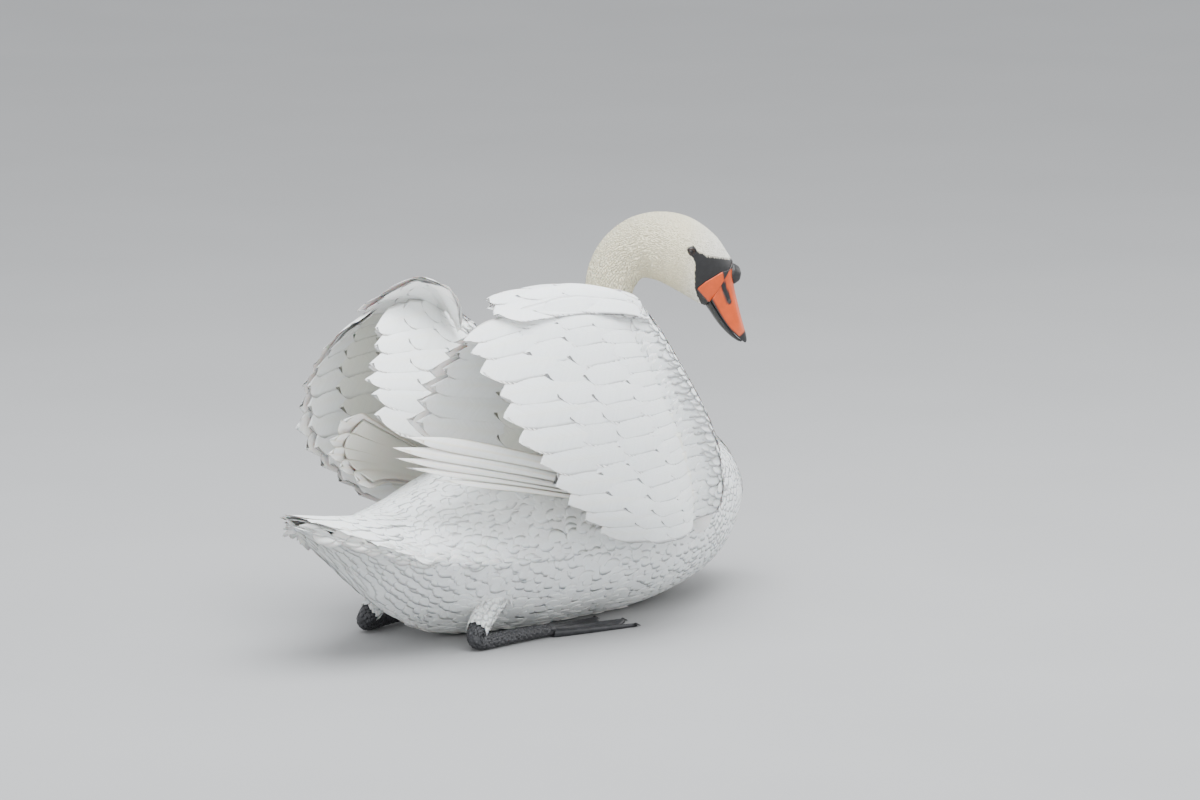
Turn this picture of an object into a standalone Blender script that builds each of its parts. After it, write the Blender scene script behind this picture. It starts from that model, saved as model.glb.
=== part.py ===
"""A life-size mute swan afloat with arched wings, as a still museum model that rests on its belly.

Units are metres. +X points to the swan's front, +Y to its left and +Z up. The origin is on the floor, under the
middle of the model. The trunk, neck and head are one loft through named stations, parted by thin cuts. Each wing is an
arm with feather sheets that grow out of it. Sheets start inside the piece that carries them and are cut back from it.
"""

import math
from dataclasses import dataclass, replace

import bmesh
import bpy
from mathutils import Matrix, Vector

MM = 0.001
GAP = 0.3 * MM  # clear space between two pieces that meet
CUTTER_REACH = 0.45 * MM  # how far a cutter stands proud of the piece that it stands for

# --- driving dimensions -------------------------------------------------------------------------------------------
FLOOR_Z = 0.0
NECK_PIVOT_X = 125 * MM  # the neck turns about an upright line through here
HEAD_TURN = math.radians(-40)  # the head looks to the swan's right
EYE_RADIUS = 6.8 * MM
EYE_PLACE = (210.5, 398)  # in the head's upright plane, in millimetres
EYE_OFFSET = 25.2
KNOB_RADIUS = 10.5 * MM
KNOB_PLACE = (262.5, 366.5)
FEATHER_SHEET = 4.0 * MM  # thickness of a layer of wing feathers


@dataclass(frozen=True)
class Station:
    """One cross-section of trunk, neck or head, before the neck's turn. Lengths are in millimetres.

    top and keel are (x, z) of the section's upper and lower ends, width is its half-width, waist is where between
    keel (0) and top (1) it is widest, upper and lower are the superellipse powers of its two halves, and turn is the
    share of the head's turn that it has.
    """

    top: tuple[float, float]
    keel: tuple[float, float]
    width: float
    waist: float = 0.5
    upper: float = 2.0
    lower: float = 2.0
    turn: float = 0.0

    def row(self):
        """The station's values as one vector, for interpolation."""
        return (*self.top, *self.keel, self.width, self.waist, self.upper, self.lower, self.turn)


STATIONS = {
    "under_tail": Station((-404, 159), (-402, 154), 14, 0.5),
    "vent": Station((-368, 149), (-362, 129), 42, 0.60, 2.0, 1.6),
    "rump_end": Station((-322, 145), (-313, 88), 70, 0.60, 2.0, 1.4),
    "rump": Station((-270, 151), (-262, 42), 89, 0.62, 2.0, 1.4),
    "loin": Station((-200, 166), (-194, 9), 106, 0.58, 1.9, 1.4),
    "back": Station((-100, 187), (-100, -7), 131, 0.55, 2.0, 1.6),
    "middle": Station((0, 200), (0, -9), 143, 0.52, 2.1, 1.8),
    "chest": Station((75, 207), (95, -7), 144, 0.53, 2.1, 2.0),
    "shoulder": Station((118, 210), (178, 3), 131, 0.53, 2.1, 2.0),
    "crop": Station((136, 211), (243, 20), 111, 0.52),
    "breast": Station((148, 213), (292, 52), 93, 0.52),
    "bulge": Station((157, 217), (318, 92), 78, 0.52),
    "neck_base": Station((160, 224), (304, 136), 63, 0.52),
    "neck_low": Station((158, 238), (264, 172), 51, 0.5),
    "neck_rise": Station((144, 261), (220, 208), 43, 0.5, turn=0.02),
    "neck_hidden": Station((122, 291), (184, 250), 36.5, 0.5, turn=0.08),
    "neck_gap": Station((104, 326), (161, 297), 32, 0.5, turn=0.25),
    "neck_top": Station((95, 360), (147, 337), 29.5, 0.5, turn=0.5),
    "nape_low": Station((103, 391), (152, 356), 29, 0.5, turn=0.7),
    "nape": Station((121, 416), (160, 364), 30, 0.52, turn=0.85),
    "hindhead": Station((148, 434), (170, 363), 32, 0.55, turn=0.95),
    "crown": Station((181, 440), (181, 359), 33.5, 0.56, turn=1.0),
    "brow": Station((214, 433), (199, 349), 31.5, 0.50, turn=1.0),
    "forehead": Station((243, 412), (217, 338), 25.5, 0.46, turn=1.0),
    "face": Station((263, 383), (230, 331), 19.5, 0.46, turn=1.0),
}
STATION_NAMES = list(STATIONS)
RING_POINTS = 20
RINGS_PER_STATION = 2

# Which stations each piece of flesh runs between, tail to head.
FLESH_PIECES = {
    "trunk": ("under_tail", "neck_base"),
    "neck_lower": ("neck_base", "neck_hidden"),
    "neck_middle": ("neck_hidden", "nape_low"),
    "neck_upper": ("nape_low", "crown"),
    "head": ("crown", "face"),
}

# --- curves and sheets --------------------------------------------------------------------------------------------


def spline(points, t):
    """A point on the smooth curve through points, where t runs from 0 to 1."""
    at = min(max(t, 0.0), 1.0) * (len(points) - 1)
    index = min(int(at), len(points) - 2)
    s = at - index
    before = points[index - 1] if index else points[0] * 2 - points[1]
    after = points[index + 2] if index + 2 < len(points) else points[-1] * 2 - points[-2]
    a, b = points[index], points[index + 1]
    return 0.5 * ((2 * a) + (b - before) * s + (2 * before - 5 * a + 4 * b - after) * s * s
                  + (3 * a - before - 3 * b + after) * s * s * s)


def points_mm(*rows):
    """Rows of millimetres as vectors in metres."""
    return [Vector(row) * MM for row in rows]


@dataclass(frozen=True)
class Sheet:
    """A sheet of feathers that runs from a front line to a rear rim, for the right-hand side of the swan.

    front and rim are points along the two edges. bulge is how far the middle stands out, along the vectors in
    swell, and feathers is how many feather tips the rim shows.
    """

    front: tuple
    rim: tuple
    swell: tuple
    bulge: float
    feathers: int
    thickness: float
    scallop: float = 0.05

    def at(self, u, v):
        """The point at share u from front to rim and share v along the edges."""
        out = spline(self.swell, v)
        rise = self.bulge * math.sin(math.pi * min(max(u, 0.0), 1.0) ** 0.85)
        return spline(self.front, v) * (1 - u) + spline(self.rim, v) * u + out * rise

    def tip(self, v):
        """How far the sheet reaches at v: 1 at a feather's tip and less between two feathers."""
        across = abs(2 * (v * self.feathers % 1.0) - 1)
        return 1.0 - self.scallop * across**2


@dataclass(frozen=True)
class Wing:
    """One raised wing.

    arm is its level sections from the flank to the elbow: (height, outer end, inner end, half-thickness), in
    millimetres. shield is the outer side, from the coverts to the secondaries' tips, inner is the wall of tertials
    beside the back, crest is the scapulars along the top, and flight is the folded primaries low on the inside.
    """

    arm: tuple
    shield: Sheet
    inner: Sheet
    crest: Sheet
    flight: Sheet


OUTWARD = points_mm((0, -1000, -250), (0, -1000, 0), (0, -950, 200), (0, -600, 700))
INWARD = points_mm((0, 300, -900), (0, 900, 0), (0, 800, 600), (0, 200, 1000))
UPWARD = points_mm((0, -300, 800), (0, 0, 1000), (0, 200, 900), (0, 500, 600))
SHIELD_FRONT = points_mm((112, -132, 118), (108, -141, 150), (92, -147, 195), (66, -151, 240), (35, -150, 288),
                         (8, -142, 335), (-2, -132, 362))
ARM = (
    (78, (106, -112), (96, -70), 13),
    (100, (112, -128), (98, -66), 22),
    (140, (112, -137), (92, -64), 27),
    (190, (98, -142), (80, -66), 28),
    (240, (72, -144), (58, -80), 27),
)
RIGHT_WING = Wing(
    arm=ARM + ((290, (40, -141), (32, -99), 25), (335, (13, -136), (8, -116), 21), (366, (-2, -130), (-4, -124), 12)),
    shield=Sheet(
        front=SHIELD_FRONT,
        rim=points_mm((-88, -176, 119), (-138, -183, 150), (-184, -180, 185), (-214, -171, 225), (-233, -155, 266),
                      (-240, -133, 304), (-240, -108, 338), (-236, -88, 356)),
        swell=OUTWARD, bulge=34 * MM, feathers=11, thickness=FEATHER_SHEET, scallop=0.045,
    ),
    inner=Sheet(
        front=points_mm((66, -66, 196), (52, -76, 245), (28, -96, 295), (2, -126, 350)),
        rim=points_mm((-258, -24, 247), (-252, -34, 281), (-240, -42, 305), (-222, -52, 331), (-226, -82, 352)),
        swell=INWARD, bulge=16 * MM, feathers=6, thickness=FEATHER_SHEET, scallop=0.06,
    ),
    crest=Sheet(
        front=points_mm((4, -156, 352), (-4, -140, 375), (-4, -118, 368), (10, -96, 338)),
        rim=points_mm((-204, -118, 368), (-198, -84, 380), (-168, -66, 388), (-150, -52, 366)),
        swell=UPWARD, bulge=13 * MM, feathers=3, thickness=FEATHER_SHEET, scallop=0.12,
    ),
    flight=Sheet(
        front=points_mm((56, -146, 104), (56, -150, 116), (56, -151, 128)),
        rim=points_mm((-262, -74, 194), (-284, -52, 213), (-292, -42, 232), (-270, -52, 251)),
        swell=points_mm((0, -1000, 300), (0, -1000, 200), (0, -900, 300)),
        bulge=40 * MM, feathers=5, thickness=6 * MM, scallop=0.05,
    ),
)
LEFT_WING = Wing(
    arm=ARM + ((285, (36, -142), (28, -105), 22), (318, (8, -140), (4, -122), 15), (334, (-6, -134), (-10, -126), 8)),
    shield=replace(
        RIGHT_WING.shield,
        front=SHIELD_FRONT[:-2] + points_mm((10, -142, 318), (-10, -134, 334)),
        rim=points_mm((-88, -176, 119), (-138, -183, 150), (-184, -180, 185), (-213, -172, 225), (-222, -160, 266),
                      (-212, -146, 300), (-192, -130, 328), (-168, -112, 345)),
        swell=points_mm((0, -1000, -250), (0, -1000, 0), (0, -980, 150), (0, -900, 400)), bulge=30 * MM,
    ),
    inner=replace(
        RIGHT_WING.inner,
        front=points_mm((66, -66, 196), (48, -78, 240), (16, -98, 285), (-12, -122, 325)),
        rim=points_mm((-250, -28, 247), (-238, -46, 276), (-220, -64, 296), (-192, -80, 320), (-164, -100, 343)),
    ),
    crest=replace(
        RIGHT_WING.crest,
        front=points_mm((-26, -146, 316), (-32, -126, 332), (-38, -102, 338), (-46, -78, 320)),
        rim=points_mm((-168, -128, 350), (-154, -106, 368), (-126, -80, 388), (-98, -62, 382)),
        bulge=14 * MM,
    ),
    flight=replace(
        RIGHT_WING.flight,
        rim=points_mm((-228, -56, 168), (-262, -62, 192), (-290, -54, 216), (-298, -46, 238), (-256, -50, 260)),
    ),
)
WINGS = {"right": RIGHT_WING, "left": LEFT_WING}
TAIL_FAN = Sheet(
    front=points_mm((-255, -84, 116), (-255, -52, 140), (-255, 0, 151), (-255, 52, 140), (-255, 84, 116)),
    rim=points_mm((-294, -83, 113), (-350, -58, 138), (-428, 0, 174), (-350, 58, 138), (-294, 83, 113)),
    swell=points_mm((0, 0, -1000), (0, 0, -1000), (0, 0, -1000)),
    bulge=4 * MM, feathers=9, thickness=3 * MM, scallop=0.03,
)
SHIELD_SPLIT = 0.52  # the coverts end and the secondaries show from here

COLOURS = {
    "white": ((0.87, 0.87, 0.85, 1), 0.75),
    "cream": ((0.85, 0.80, 0.64, 1), 0.75),
    "orange": ((0.80, 0.23, 0.03, 1), 0.38),
    "black": ((0.012, 0.012, 0.014, 1), 0.45),
    "eye": ((0.02, 0.012, 0.008, 1), 0.08),
    "web": ((0.045, 0.045, 0.05, 1), 0.5),
}


def material(name):
    """The named finish, made once."""
    made = bpy.data.materials.get(name)
    if made is None:
        made = bpy.data.materials.new(name)
        made.use_nodes = True
        shader = made.node_tree.nodes["Principled BSDF"]
        colour, roughness = COLOURS[name]
        shader.inputs["Base Color"].default_value = colour
        shader.inputs["Roughness"].default_value = roughness
        shader.inputs["Metallic"].default_value = 0.0
        made.diffuse_color = colour
    return made


def new_collection(name):
    """An empty collection of the scene."""
    made = bpy.data.collections.new(name)
    bpy.context.scene.collection.children.link(made)
    return made


def clear_scene():
    """Removes every object that the file opened with."""
    for obj in list(bpy.data.objects):
        bpy.data.objects.remove(obj, do_unlink=True)


class Builder:
    """Makes the swan's pieces and keeps the cutters apart from them."""

    def __init__(self):
        self.parts = new_collection("mute_swan")
        self.cutters = new_collection("cutters")

    def add(self, name, mesh, finish):
        """A piece of the swan from a mesh in place, with its finish and smooth shading."""
        obj = bpy.data.objects.new(name, mesh)
        self.parts.objects.link(obj)
        mesh.materials.append(material(finish))
        mesh.shade_smooth()
        mesh.set_sharp_from_angle(angle=math.radians(50))
        return obj

    def cutter(self, piece):
        """A copy of a piece as it shows now, grown by CUTTER_REACH, to cut its neighbours with."""
        graph = bpy.context.evaluated_depsgraph_get()
        mesh = bpy.data.meshes.new_from_object(piece.evaluated_get(graph))
        grown = bmesh.new()
        grown.from_mesh(mesh)
        bmesh.ops.remove_doubles(grown, verts=grown.verts, dist=0.01 * MM)
        grown.normal_update()
        moves = [vert.normal * CUTTER_REACH for vert in grown.verts]
        for vert, move in zip(grown.verts, moves):
            vert.co += move
        grown.to_mesh(mesh)
        grown.free()
        obj = bpy.data.objects.new(piece.name + "_cutter", mesh)
        self.cutters.objects.link(obj)
        obj.hide_render = True
        obj.display_type = "WIRE"
        return obj

    def cut(self, piece, *cutters):
        """Cuts the piece back from each cutter and keeps the largest body that is left."""
        for tool in cutters:
            boolean = piece.modifiers.new("clear_of_" + tool.name, "BOOLEAN")
            boolean.operation = "DIFFERENCE"
            boolean.object = tool
        bpy.context.view_layer.update()
        graph = bpy.context.evaluated_depsgraph_get()
        mesh = bpy.data.meshes.new_from_object(piece.evaluated_get(graph))
        keep_largest(mesh)
        piece.modifiers.clear()
        piece.data = mesh
        bpy.context.view_layer.update()
        return piece


def keep_largest(mesh):
    """Removes from a mesh the small bodies that a cut leaves beside the main one."""
    shape = bmesh.new()
    shape.from_mesh(mesh)
    bodies, seen = [], set()
    for vert in shape.verts:
        if vert in seen:
            continue
        seen.add(vert)
        body, edge_of_body = [], [vert]
        while edge_of_body:
            here = edge_of_body.pop()
            body.append(here)
            for edge in here.link_edges:
                other = edge.other_vert(here)
                if other not in seen:
                    seen.add(other)
                    edge_of_body.append(other)
        bodies.append(body)
    largest = max(bodies, key=len)
    scraps = [vert for body in bodies if body is not largest for vert in body]
    bmesh.ops.delete(shape, geom=scraps, context="VERTS")
    shape.to_mesh(mesh)
    shape.free()


def mesh_of(name, points, faces):
    """A mesh from points and faces, with its normals pointing out."""
    mesh = bpy.data.meshes.new(name)
    shape = bmesh.new()
    verts = [shape.verts.new(point) for point in points]
    for face in faces:
        shape.faces.new([verts[index] for index in face])
    bmesh.ops.recalc_face_normals(shape, faces=shape.faces)
    shape.to_mesh(mesh)
    shape.free()
    return mesh


def loft(name, rings):
    """A closed mesh through rings of equally many points, with a fan on each end."""
    count = len(rings[0])
    points = [point for ring in rings for point in ring]
    faces = []
    for row in range(len(rings) - 1):
        for k in range(count):
            after = (k + 1) % count
            faces.append((row * count + k, row * count + after, (row + 1) * count + after, (row + 1) * count + k))
    for first, ring in ((0, rings[0]), ((len(rings) - 1) * count, rings[-1])):
        points.append(sum(ring, Vector()) / count)
        centre = len(points) - 1
        faces += [(first + k, first + (k + 1) % count, centre) for k in range(count)]
    return mesh_of(name, points, faces)


# --- trunk, neck and head -----------------------------------------------------------------------------------------


def signed_power(value, power):
    """value to a power, with its sign kept."""
    return math.copysign(abs(value) ** power, value)


def station_values(place):
    """The interpolated station at place, which counts stations from the tail."""
    rows = [Vector(STATIONS[name].row()) for name in STATION_NAMES]
    return spline(rows, place / (len(rows) - 1))


def flesh_ring(place, shift=0.0):
    """The ring of points of the body's surface at place, moved by shift towards the bill."""
    values = station_values(place)
    top, keel = Vector((values[0], 0, values[1])), Vector((values[2], 0, values[3]))
    width, waist, upper, lower, turn = values[4:9]
    middle = keel.lerp(top, waist)
    ahead = (keel - top).normalized().cross(Vector((0, 1, 0)))
    spin = Matrix.Rotation(HEAD_TURN * turn, 4, "Z")
    pivot = Vector((NECK_PIVOT_X, 0, 0))
    ring = []
    for k in range(RING_POINTS):
        angle = 2 * math.pi * k / RING_POINTS
        power = 2 / (upper if math.cos(angle) > 0 else lower)
        rise = signed_power(math.cos(angle), power)
        end = top if rise > 0 else keel
        point = middle + (end - middle) * abs(rise) + Vector((0, width * signed_power(math.sin(angle), power), 0))
        point = point * MM + ahead * shift
        point = spin @ (point - pivot) + pivot
        point.z = max(point.z, FLOOR_Z)
        ring.append(point)
    return ring


def flesh_mesh(name, first, last):
    """The mesh of the body from one station to another, less half a gap at a cut."""
    start, end = STATION_NAMES.index(first), STATION_NAMES.index(last)
    steps = (end - start) * RINGS_PER_STATION
    rings = []
    for step in range(steps + 1):
        shift = GAP / 2 if step == 0 and start else -GAP / 2 if step == steps else 0.0
        rings.append(flesh_ring(start + step / RINGS_PER_STATION, shift))
    return loft(name, rings)


def head_point(x, z, y=0.0):
    """A place in the head's own upright plane, in millimetres, as a point of the model."""
    pivot = Vector((NECK_PIVOT_X, 0, 0))
    return Matrix.Rotation(HEAD_TURN, 4, "Z") @ (Vector((x, y, z)) * MM - pivot) + pivot


def make_flesh(build):
    """Trunk, the lengths of the neck, and the head."""
    made = {}
    for name, (first, last) in FLESH_PIECES.items():
        finish = "cream" if name in ("neck_upper", "head") else "white"
        made[name] = build.add(name, flesh_mesh(name, first, last), finish)
    return made


# --- bill and eyes ------------------------------------------------------------------------------------------------
# Each bill half's sections in the head's plane, in millimetres: (domed side, flat cutting edge, half-width).
UPPER_BILL = (
    ((262.7, 382.1), (235.6, 339.3), 17.0),
    ((262.4, 367.0), (241.4, 330.0), 16.5),
    ((264.8, 351.0), (247.0, 321.0), 15.0),
    ((268.0, 337.0), (252.4, 313.0), 14.0),
    ((271.4, 323.0), (258.2, 305.6), 13.0),
    ((275.0, 310.0), (264.6, 298.8), 11.5),
    ((278.2, 299.0), (270.6, 293.2), 8.5),
    ((279.6, 291.4), (275.4, 289.0), 4.5),
    ((279.2, 288.2), (277.6, 287.6), 1.8),
)
LOWER_BILL = (
    ((231.6, 332.6), (234.8, 337.7), 13.0),
    ((236.8, 325.4), (240.6, 328.8), 12.5),
    ((242.6, 316.4), (246.2, 319.8), 11.5),
    ((248.4, 308.6), (251.7, 311.9), 10.5),
    ((254.6, 301.6), (257.5, 304.5), 9.5),
    ((261.4, 295.2), (263.8, 297.7), 8.0),
    ((268.2, 290.4), (269.6, 292.2), 5.5),
    ((272.6, 288.6), (273.2, 289.6), 2.5),
)
BILL_RING = 14


def bill_mesh(name, sections):
    """A bill half, lofted through its sections: each is a dome over a flat cutting edge."""
    rings = []
    for dome, edge, width in sections:
        ring = []
        for k in range(BILL_RING):
            angle = 2 * math.pi * (k + 0.5) / BILL_RING
            share = max(0.0, (math.cos(angle) + 0.25) / 1.25)
            x = edge[0] + (dome[0] - edge[0]) * share
            z = edge[1] + (dome[1] - edge[1]) * share
            ring.append(head_point(x, z, width * signed_power(math.sin(angle), 0.7)))
        rings.append(ring)
    return loft(name, rings)


def ellipsoid(name, centre, radii, segments=14, rings=9):
    """A closed ball with three radii, in the head's turn."""
    shape = bmesh.new()
    bmesh.ops.create_uvsphere(shape, u_segments=segments, v_segments=rings, radius=1.0)
    turn = Matrix.Rotation(HEAD_TURN, 4, "Z")
    scale = Matrix.Diagonal((*radii, 1.0))
    shape.transform(Matrix.Translation(centre) @ turn @ scale)
    mesh = bpy.data.meshes.new(name)
    shape.to_mesh(mesh)
    shape.free()
    return mesh


def make_head_parts(build, head):
    """Bill, knob and eyes, each clear of the others."""
    eye_cutters = []
    for side, sign in (("left", 1), ("right", -1)):
        centre = head_point(*EYE_PLACE, sign * EYE_OFFSET)
        eye = build.add("eye_" + side, ellipsoid("eye_" + side, centre, (EYE_RADIUS,) * 3, 12, 8), "eye")
        eye_cutters.append(build.cutter(eye))
    build.cut(head, *eye_cutters)
    upper = build.add("bill_upper", bill_mesh("bill_upper", UPPER_BILL), "orange")
    build.add("bill_lower", bill_mesh("bill_lower", LOWER_BILL), "black")
    radii = (KNOB_RADIUS, KNOB_RADIUS * 0.92, KNOB_RADIUS * 1.12)
    knob = build.add("bill_knob", ellipsoid("bill_knob", head_point(*KNOB_PLACE), radii), "black")
    build.cut(knob, build.cutter(head), build.cutter(upper))


# --- wings and tail -----------------------------------------------------------------------------------------------


def mirrored(point, side):
    """A right-hand point, or its mirror image for the left."""
    return point if side == "right" else Vector((point.x, -point.y, point.z))


def sheet_mesh(name, sheet, side, start, end, rows, columns):
    """The open surface of part of a sheet, from share start to share end, or to its feather tips where end is 1."""
    points = []
    for row in range(rows + 1):
        v = row / rows
        stop = sheet.tip(v) if end >= 1 else end
        for column in range(columns + 1):
            u = start + (stop - start) * column / columns
            points.append(mirrored(sheet.at(u, v), side))
    width = columns + 1
    faces = [(r * width + c, r * width + c + 1, (r + 1) * width + c + 1, (r + 1) * width + c)
             for r in range(rows) for c in range(columns)]
    if side == "left":
        faces = [face[::-1] for face in faces]
    mesh = bpy.data.meshes.new(name)
    mesh.from_pydata(points, [], faces)
    return mesh


def make_sheet(build, name, sheet, side, start=0.0, end=1.0, rows=None, columns=6):
    """A sheet of feathers as a solid, thickened to its inner side."""
    rows = rows or sheet.feathers * 3
    piece = build.add(name, sheet_mesh(name, sheet, side, start, end, rows, columns), "white")
    wall = piece.modifiers.new("thickness", "SOLIDIFY")
    wall.thickness = sheet.thickness
    wall.offset = -1.0
    wall.use_even_offset = False
    return piece


def arm_mesh(name, levels, side):
    """The feathered arm from flank to elbow, lofted through level sections."""
    rings = []
    for height, outer, inner, thick in levels:
        a, b = Vector((*outer, height)) * MM, Vector((*inner, height)) * MM
        middle, reach = (a + b) / 2, (a - b) / 2
        half = reach.length + thick * MM
        along = reach.normalized()
        across = along.cross(Vector((0, 0, 1)))
        ring = []
        for k in range(16):
            angle = 2 * math.pi * k / 16
            ring.append(middle + along * half * signed_power(math.cos(angle), 0.8)
                        + across * thick * MM * signed_power(math.sin(angle), 0.9))
        rings.append([mirrored(point, side) for point in ring])
    return loft(name, rings)


def make_wing(build, side, trunk_cutter):
    """One raised wing: arm, coverts, secondaries, inner wall of tertials, crest of scapulars and folded primaries."""
    wing, prefix = WINGS[side], "wing_" + side
    arm = build.add(prefix + "_arm", arm_mesh(prefix + "_arm", wing.arm, side), "white")
    build.cut(arm, trunk_cutter)
    arm_cutter = build.cutter(arm)
    seam = 0.002
    coverts = make_sheet(build, prefix + "_coverts", wing.shield, side, 0.0, SHIELD_SPLIT - seam, rows=14, columns=5)
    secondaries = make_sheet(build, prefix + "_secondaries", wing.shield, side, SHIELD_SPLIT, 1.0, columns=3)
    tertials = make_sheet(build, prefix + "_tertials", wing.inner, side, columns=5)
    scapulars = make_sheet(build, prefix + "_scapulars", wing.crest, side, rows=12, columns=5)
    primaries = make_sheet(build, prefix + "_primaries", wing.flight, side, columns=6)
    for piece in (coverts, tertials, scapulars, primaries):
        build.cut(piece, trunk_cutter, arm_cutter)
    shield_cutters = [build.cutter(coverts), build.cutter(secondaries)]
    build.cut(tertials, *shield_cutters)
    build.cut(primaries, *shield_cutters)
    build.cut(scapulars, *shield_cutters, build.cutter(tertials))


def make_tail(build, trunk_cutter):
    """The fan of tail feathers over the rump's end."""
    tail = make_sheet(build, "tail", TAIL_FAN, "right", columns=4)
    build.cut(tail, trunk_cutter)


# --- legs and feet ------------------------------------------------------------------------------------------------
# The folded leg, thigh to ankle: (x, y, z, radius) in millimetres for the right-hand side.
LEG = ((-150, -70, 58, 13), (-186, -76, 34, 11), (-203, -80, 17, 10), (-196, -83, 10, 9), (-160, -86, 9, 7.5),
       (-120, -89, 8.5, 7), (-88, -91, 7.5, 7))
FOOT_LENGTH, FOOT_SPREAD = 118 * MM, 30 * MM
FOOT_START = Vector((-93, -91, 0)) * MM
TOES = 3


def make_leg(build, side, trunk_cutter):
    """The short leg, folded flat under the belly."""
    rings = []
    for index, (x, y, z, radius) in enumerate(LEG):
        here = Vector((x, y, z))
        ahead, behind = LEG[min(index + 1, len(LEG) - 1)][:3], LEG[max(index - 1, 0)][:3]
        along = (Vector(ahead) - Vector(behind)).normalized()
        across = along.cross(Vector((0, 1, 0))).normalized()
        level = along.cross(across)
        ring = [here + (across * math.cos(a) + level * math.sin(a)) * radius
                for a in (2 * math.pi * k / 10 for k in range(10))]
        rings.append([mirrored(Vector((p.x, p.y, max(p.z, 0))) * MM, side) for p in ring])
    leg = build.add("leg_" + side, loft("leg_" + side, rings), "web")
    build.cut(leg, trunk_cutter)
    return leg


def foot_mesh(name, side, columns=6, rows=12):
    """A folded web with three toes, flat underneath."""
    upper, lower = [], []
    for row in range(rows + 1):
        v = row / rows
        toe = math.cos(math.pi * (v * (TOES - 1))) ** 2
        for column in range(columns + 1):
            u = column / columns
            reach = FOOT_LENGTH * u * (0.86 + 0.14 * toe - 0.1 * abs(2 * v - 1))
            wide = (2 * v - 1) * (0.28 + 0.72 * u**0.8) * FOOT_SPREAD
            point = FOOT_START + Vector((reach, wide - reach * 0.1, 0))
            high = (1.6 + 8.5 * (0.25 + 0.75 * toe) * (1 - 0.72 * u)) * MM
            upper.append(mirrored(point + Vector((0, 0, high)), side))
            lower.append(mirrored(point, side))
    width, count = columns + 1, len(upper)
    faces = []
    for r in range(rows):
        for c in range(columns):
            face = (r * width + c, r * width + c + 1, (r + 1) * width + c + 1, (r + 1) * width + c)
            faces += [face, tuple(index + count for index in reversed(face))]
    rim = ([c for c in range(width)] + [r * width + columns for r in range(1, rows + 1)]
           + [rows * width + c for c in reversed(range(columns))] + [r * width for r in reversed(range(1, rows))])
    for here, after in zip(rim, rim[1:] + rim[:1]):
        faces.append((here, after, after + count, here + count))
    return mesh_of(name, upper + lower, faces)


def make_foot(build, side, trunk_cutter, leg):
    """One webbed foot, tucked forward under the belly."""
    foot = build.add("foot_" + side, foot_mesh("foot_" + side, side), "web")
    build.cut(foot, trunk_cutter, build.cutter(leg))


def main():
    """Builds the whole swan."""
    clear_scene()
    build = Builder()
    flesh = make_flesh(build)
    make_head_parts(build, flesh["head"])
    trunk_cutter = build.cutter(flesh["trunk"])
    for side in ("left", "right"):
        make_wing(build, side, trunk_cutter)
        leg = make_leg(build, side, trunk_cutter)
        make_foot(build, side, trunk_cutter, leg)
    make_tail(build, trunk_cutter)


main()
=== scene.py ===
"""Looks of a life-size mute swan afloat with arched wings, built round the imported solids.

Units are metres, +X points to the swan's front, +Y to its left and +Z up. A skin runs without a seam over
trunk, neck, head and both wing arms. Small plumes are laid over it by Geometry Nodes, and each long wing or
tail feather is a vane of its own that follows the surface below it. Bill, knob, eyes, legs and feet are
separate pieces.
"""

import sys
import logging
import math
from collections.abc import Callable
from dataclasses import dataclass, replace
from enum import Enum

import bmesh
import bpy
import numpy as np
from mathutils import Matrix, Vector
from mathutils.bvhtree import BVHTree
from mathutils.geometry import delaunay_2d_cdt


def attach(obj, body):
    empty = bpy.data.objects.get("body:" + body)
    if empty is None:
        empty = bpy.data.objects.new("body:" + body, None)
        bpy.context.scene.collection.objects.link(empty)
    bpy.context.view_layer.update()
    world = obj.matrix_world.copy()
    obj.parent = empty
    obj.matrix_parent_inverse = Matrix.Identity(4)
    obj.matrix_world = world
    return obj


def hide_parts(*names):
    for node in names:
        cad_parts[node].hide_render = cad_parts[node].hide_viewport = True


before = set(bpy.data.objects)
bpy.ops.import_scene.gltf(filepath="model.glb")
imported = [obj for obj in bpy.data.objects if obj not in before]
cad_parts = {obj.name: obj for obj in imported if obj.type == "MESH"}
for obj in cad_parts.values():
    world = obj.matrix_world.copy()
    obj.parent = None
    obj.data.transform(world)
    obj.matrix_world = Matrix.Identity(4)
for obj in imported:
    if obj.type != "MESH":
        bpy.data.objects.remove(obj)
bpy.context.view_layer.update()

LOG = logging.getLogger("swan")
Array = np.ndarray
Piece = bpy.types.Object
Mesh = bpy.types.Mesh
Material = bpy.types.Material
Socket = bpy.types.NodeSocket
Colour = tuple[float, ...]
Span = tuple[float, float]
Random = np.random.Generator
MM = 0.001
ROOT_BODY = "root"
BAKE_MAP = "OFBake"
PROBES = 97  # places measured along a row of plumes
ROOT_VALUES = ("root", "lie", "side", "up", "size", "pose", "bend", "patch")
RIM = ((0, slice(None)), (-1, slice(None)), (slice(None), 0), (slice(None), -1))  # the four sides of a grid
BAKE_PATCH = 0.003  # width of a feather's patch on the bake map

# --- driving dimensions, shared with the solids ---
NECK_PIVOT_X = 125 * MM
HEAD_TURN = math.radians(-40)
EYE_RADIUS = 6.8 * MM
EYE_PLACE = (210.5, 398)
EYE_OFFSET = 25.2
KNOB_RADIUS = 10.5 * MM
KNOB_PLACE = (262.5, 366.5)

WHITE = (0.91, 0.91, 0.90)
CREAM = (0.84, 0.75, 0.50)
# Ivory for feather shafts, and painted shade: the warm tone of the wings' shaded insides and of overlapping
# feather rims.
IVORY_SHAFT_AND_SHADE = (0.88, 0.86, 0.78)
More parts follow.
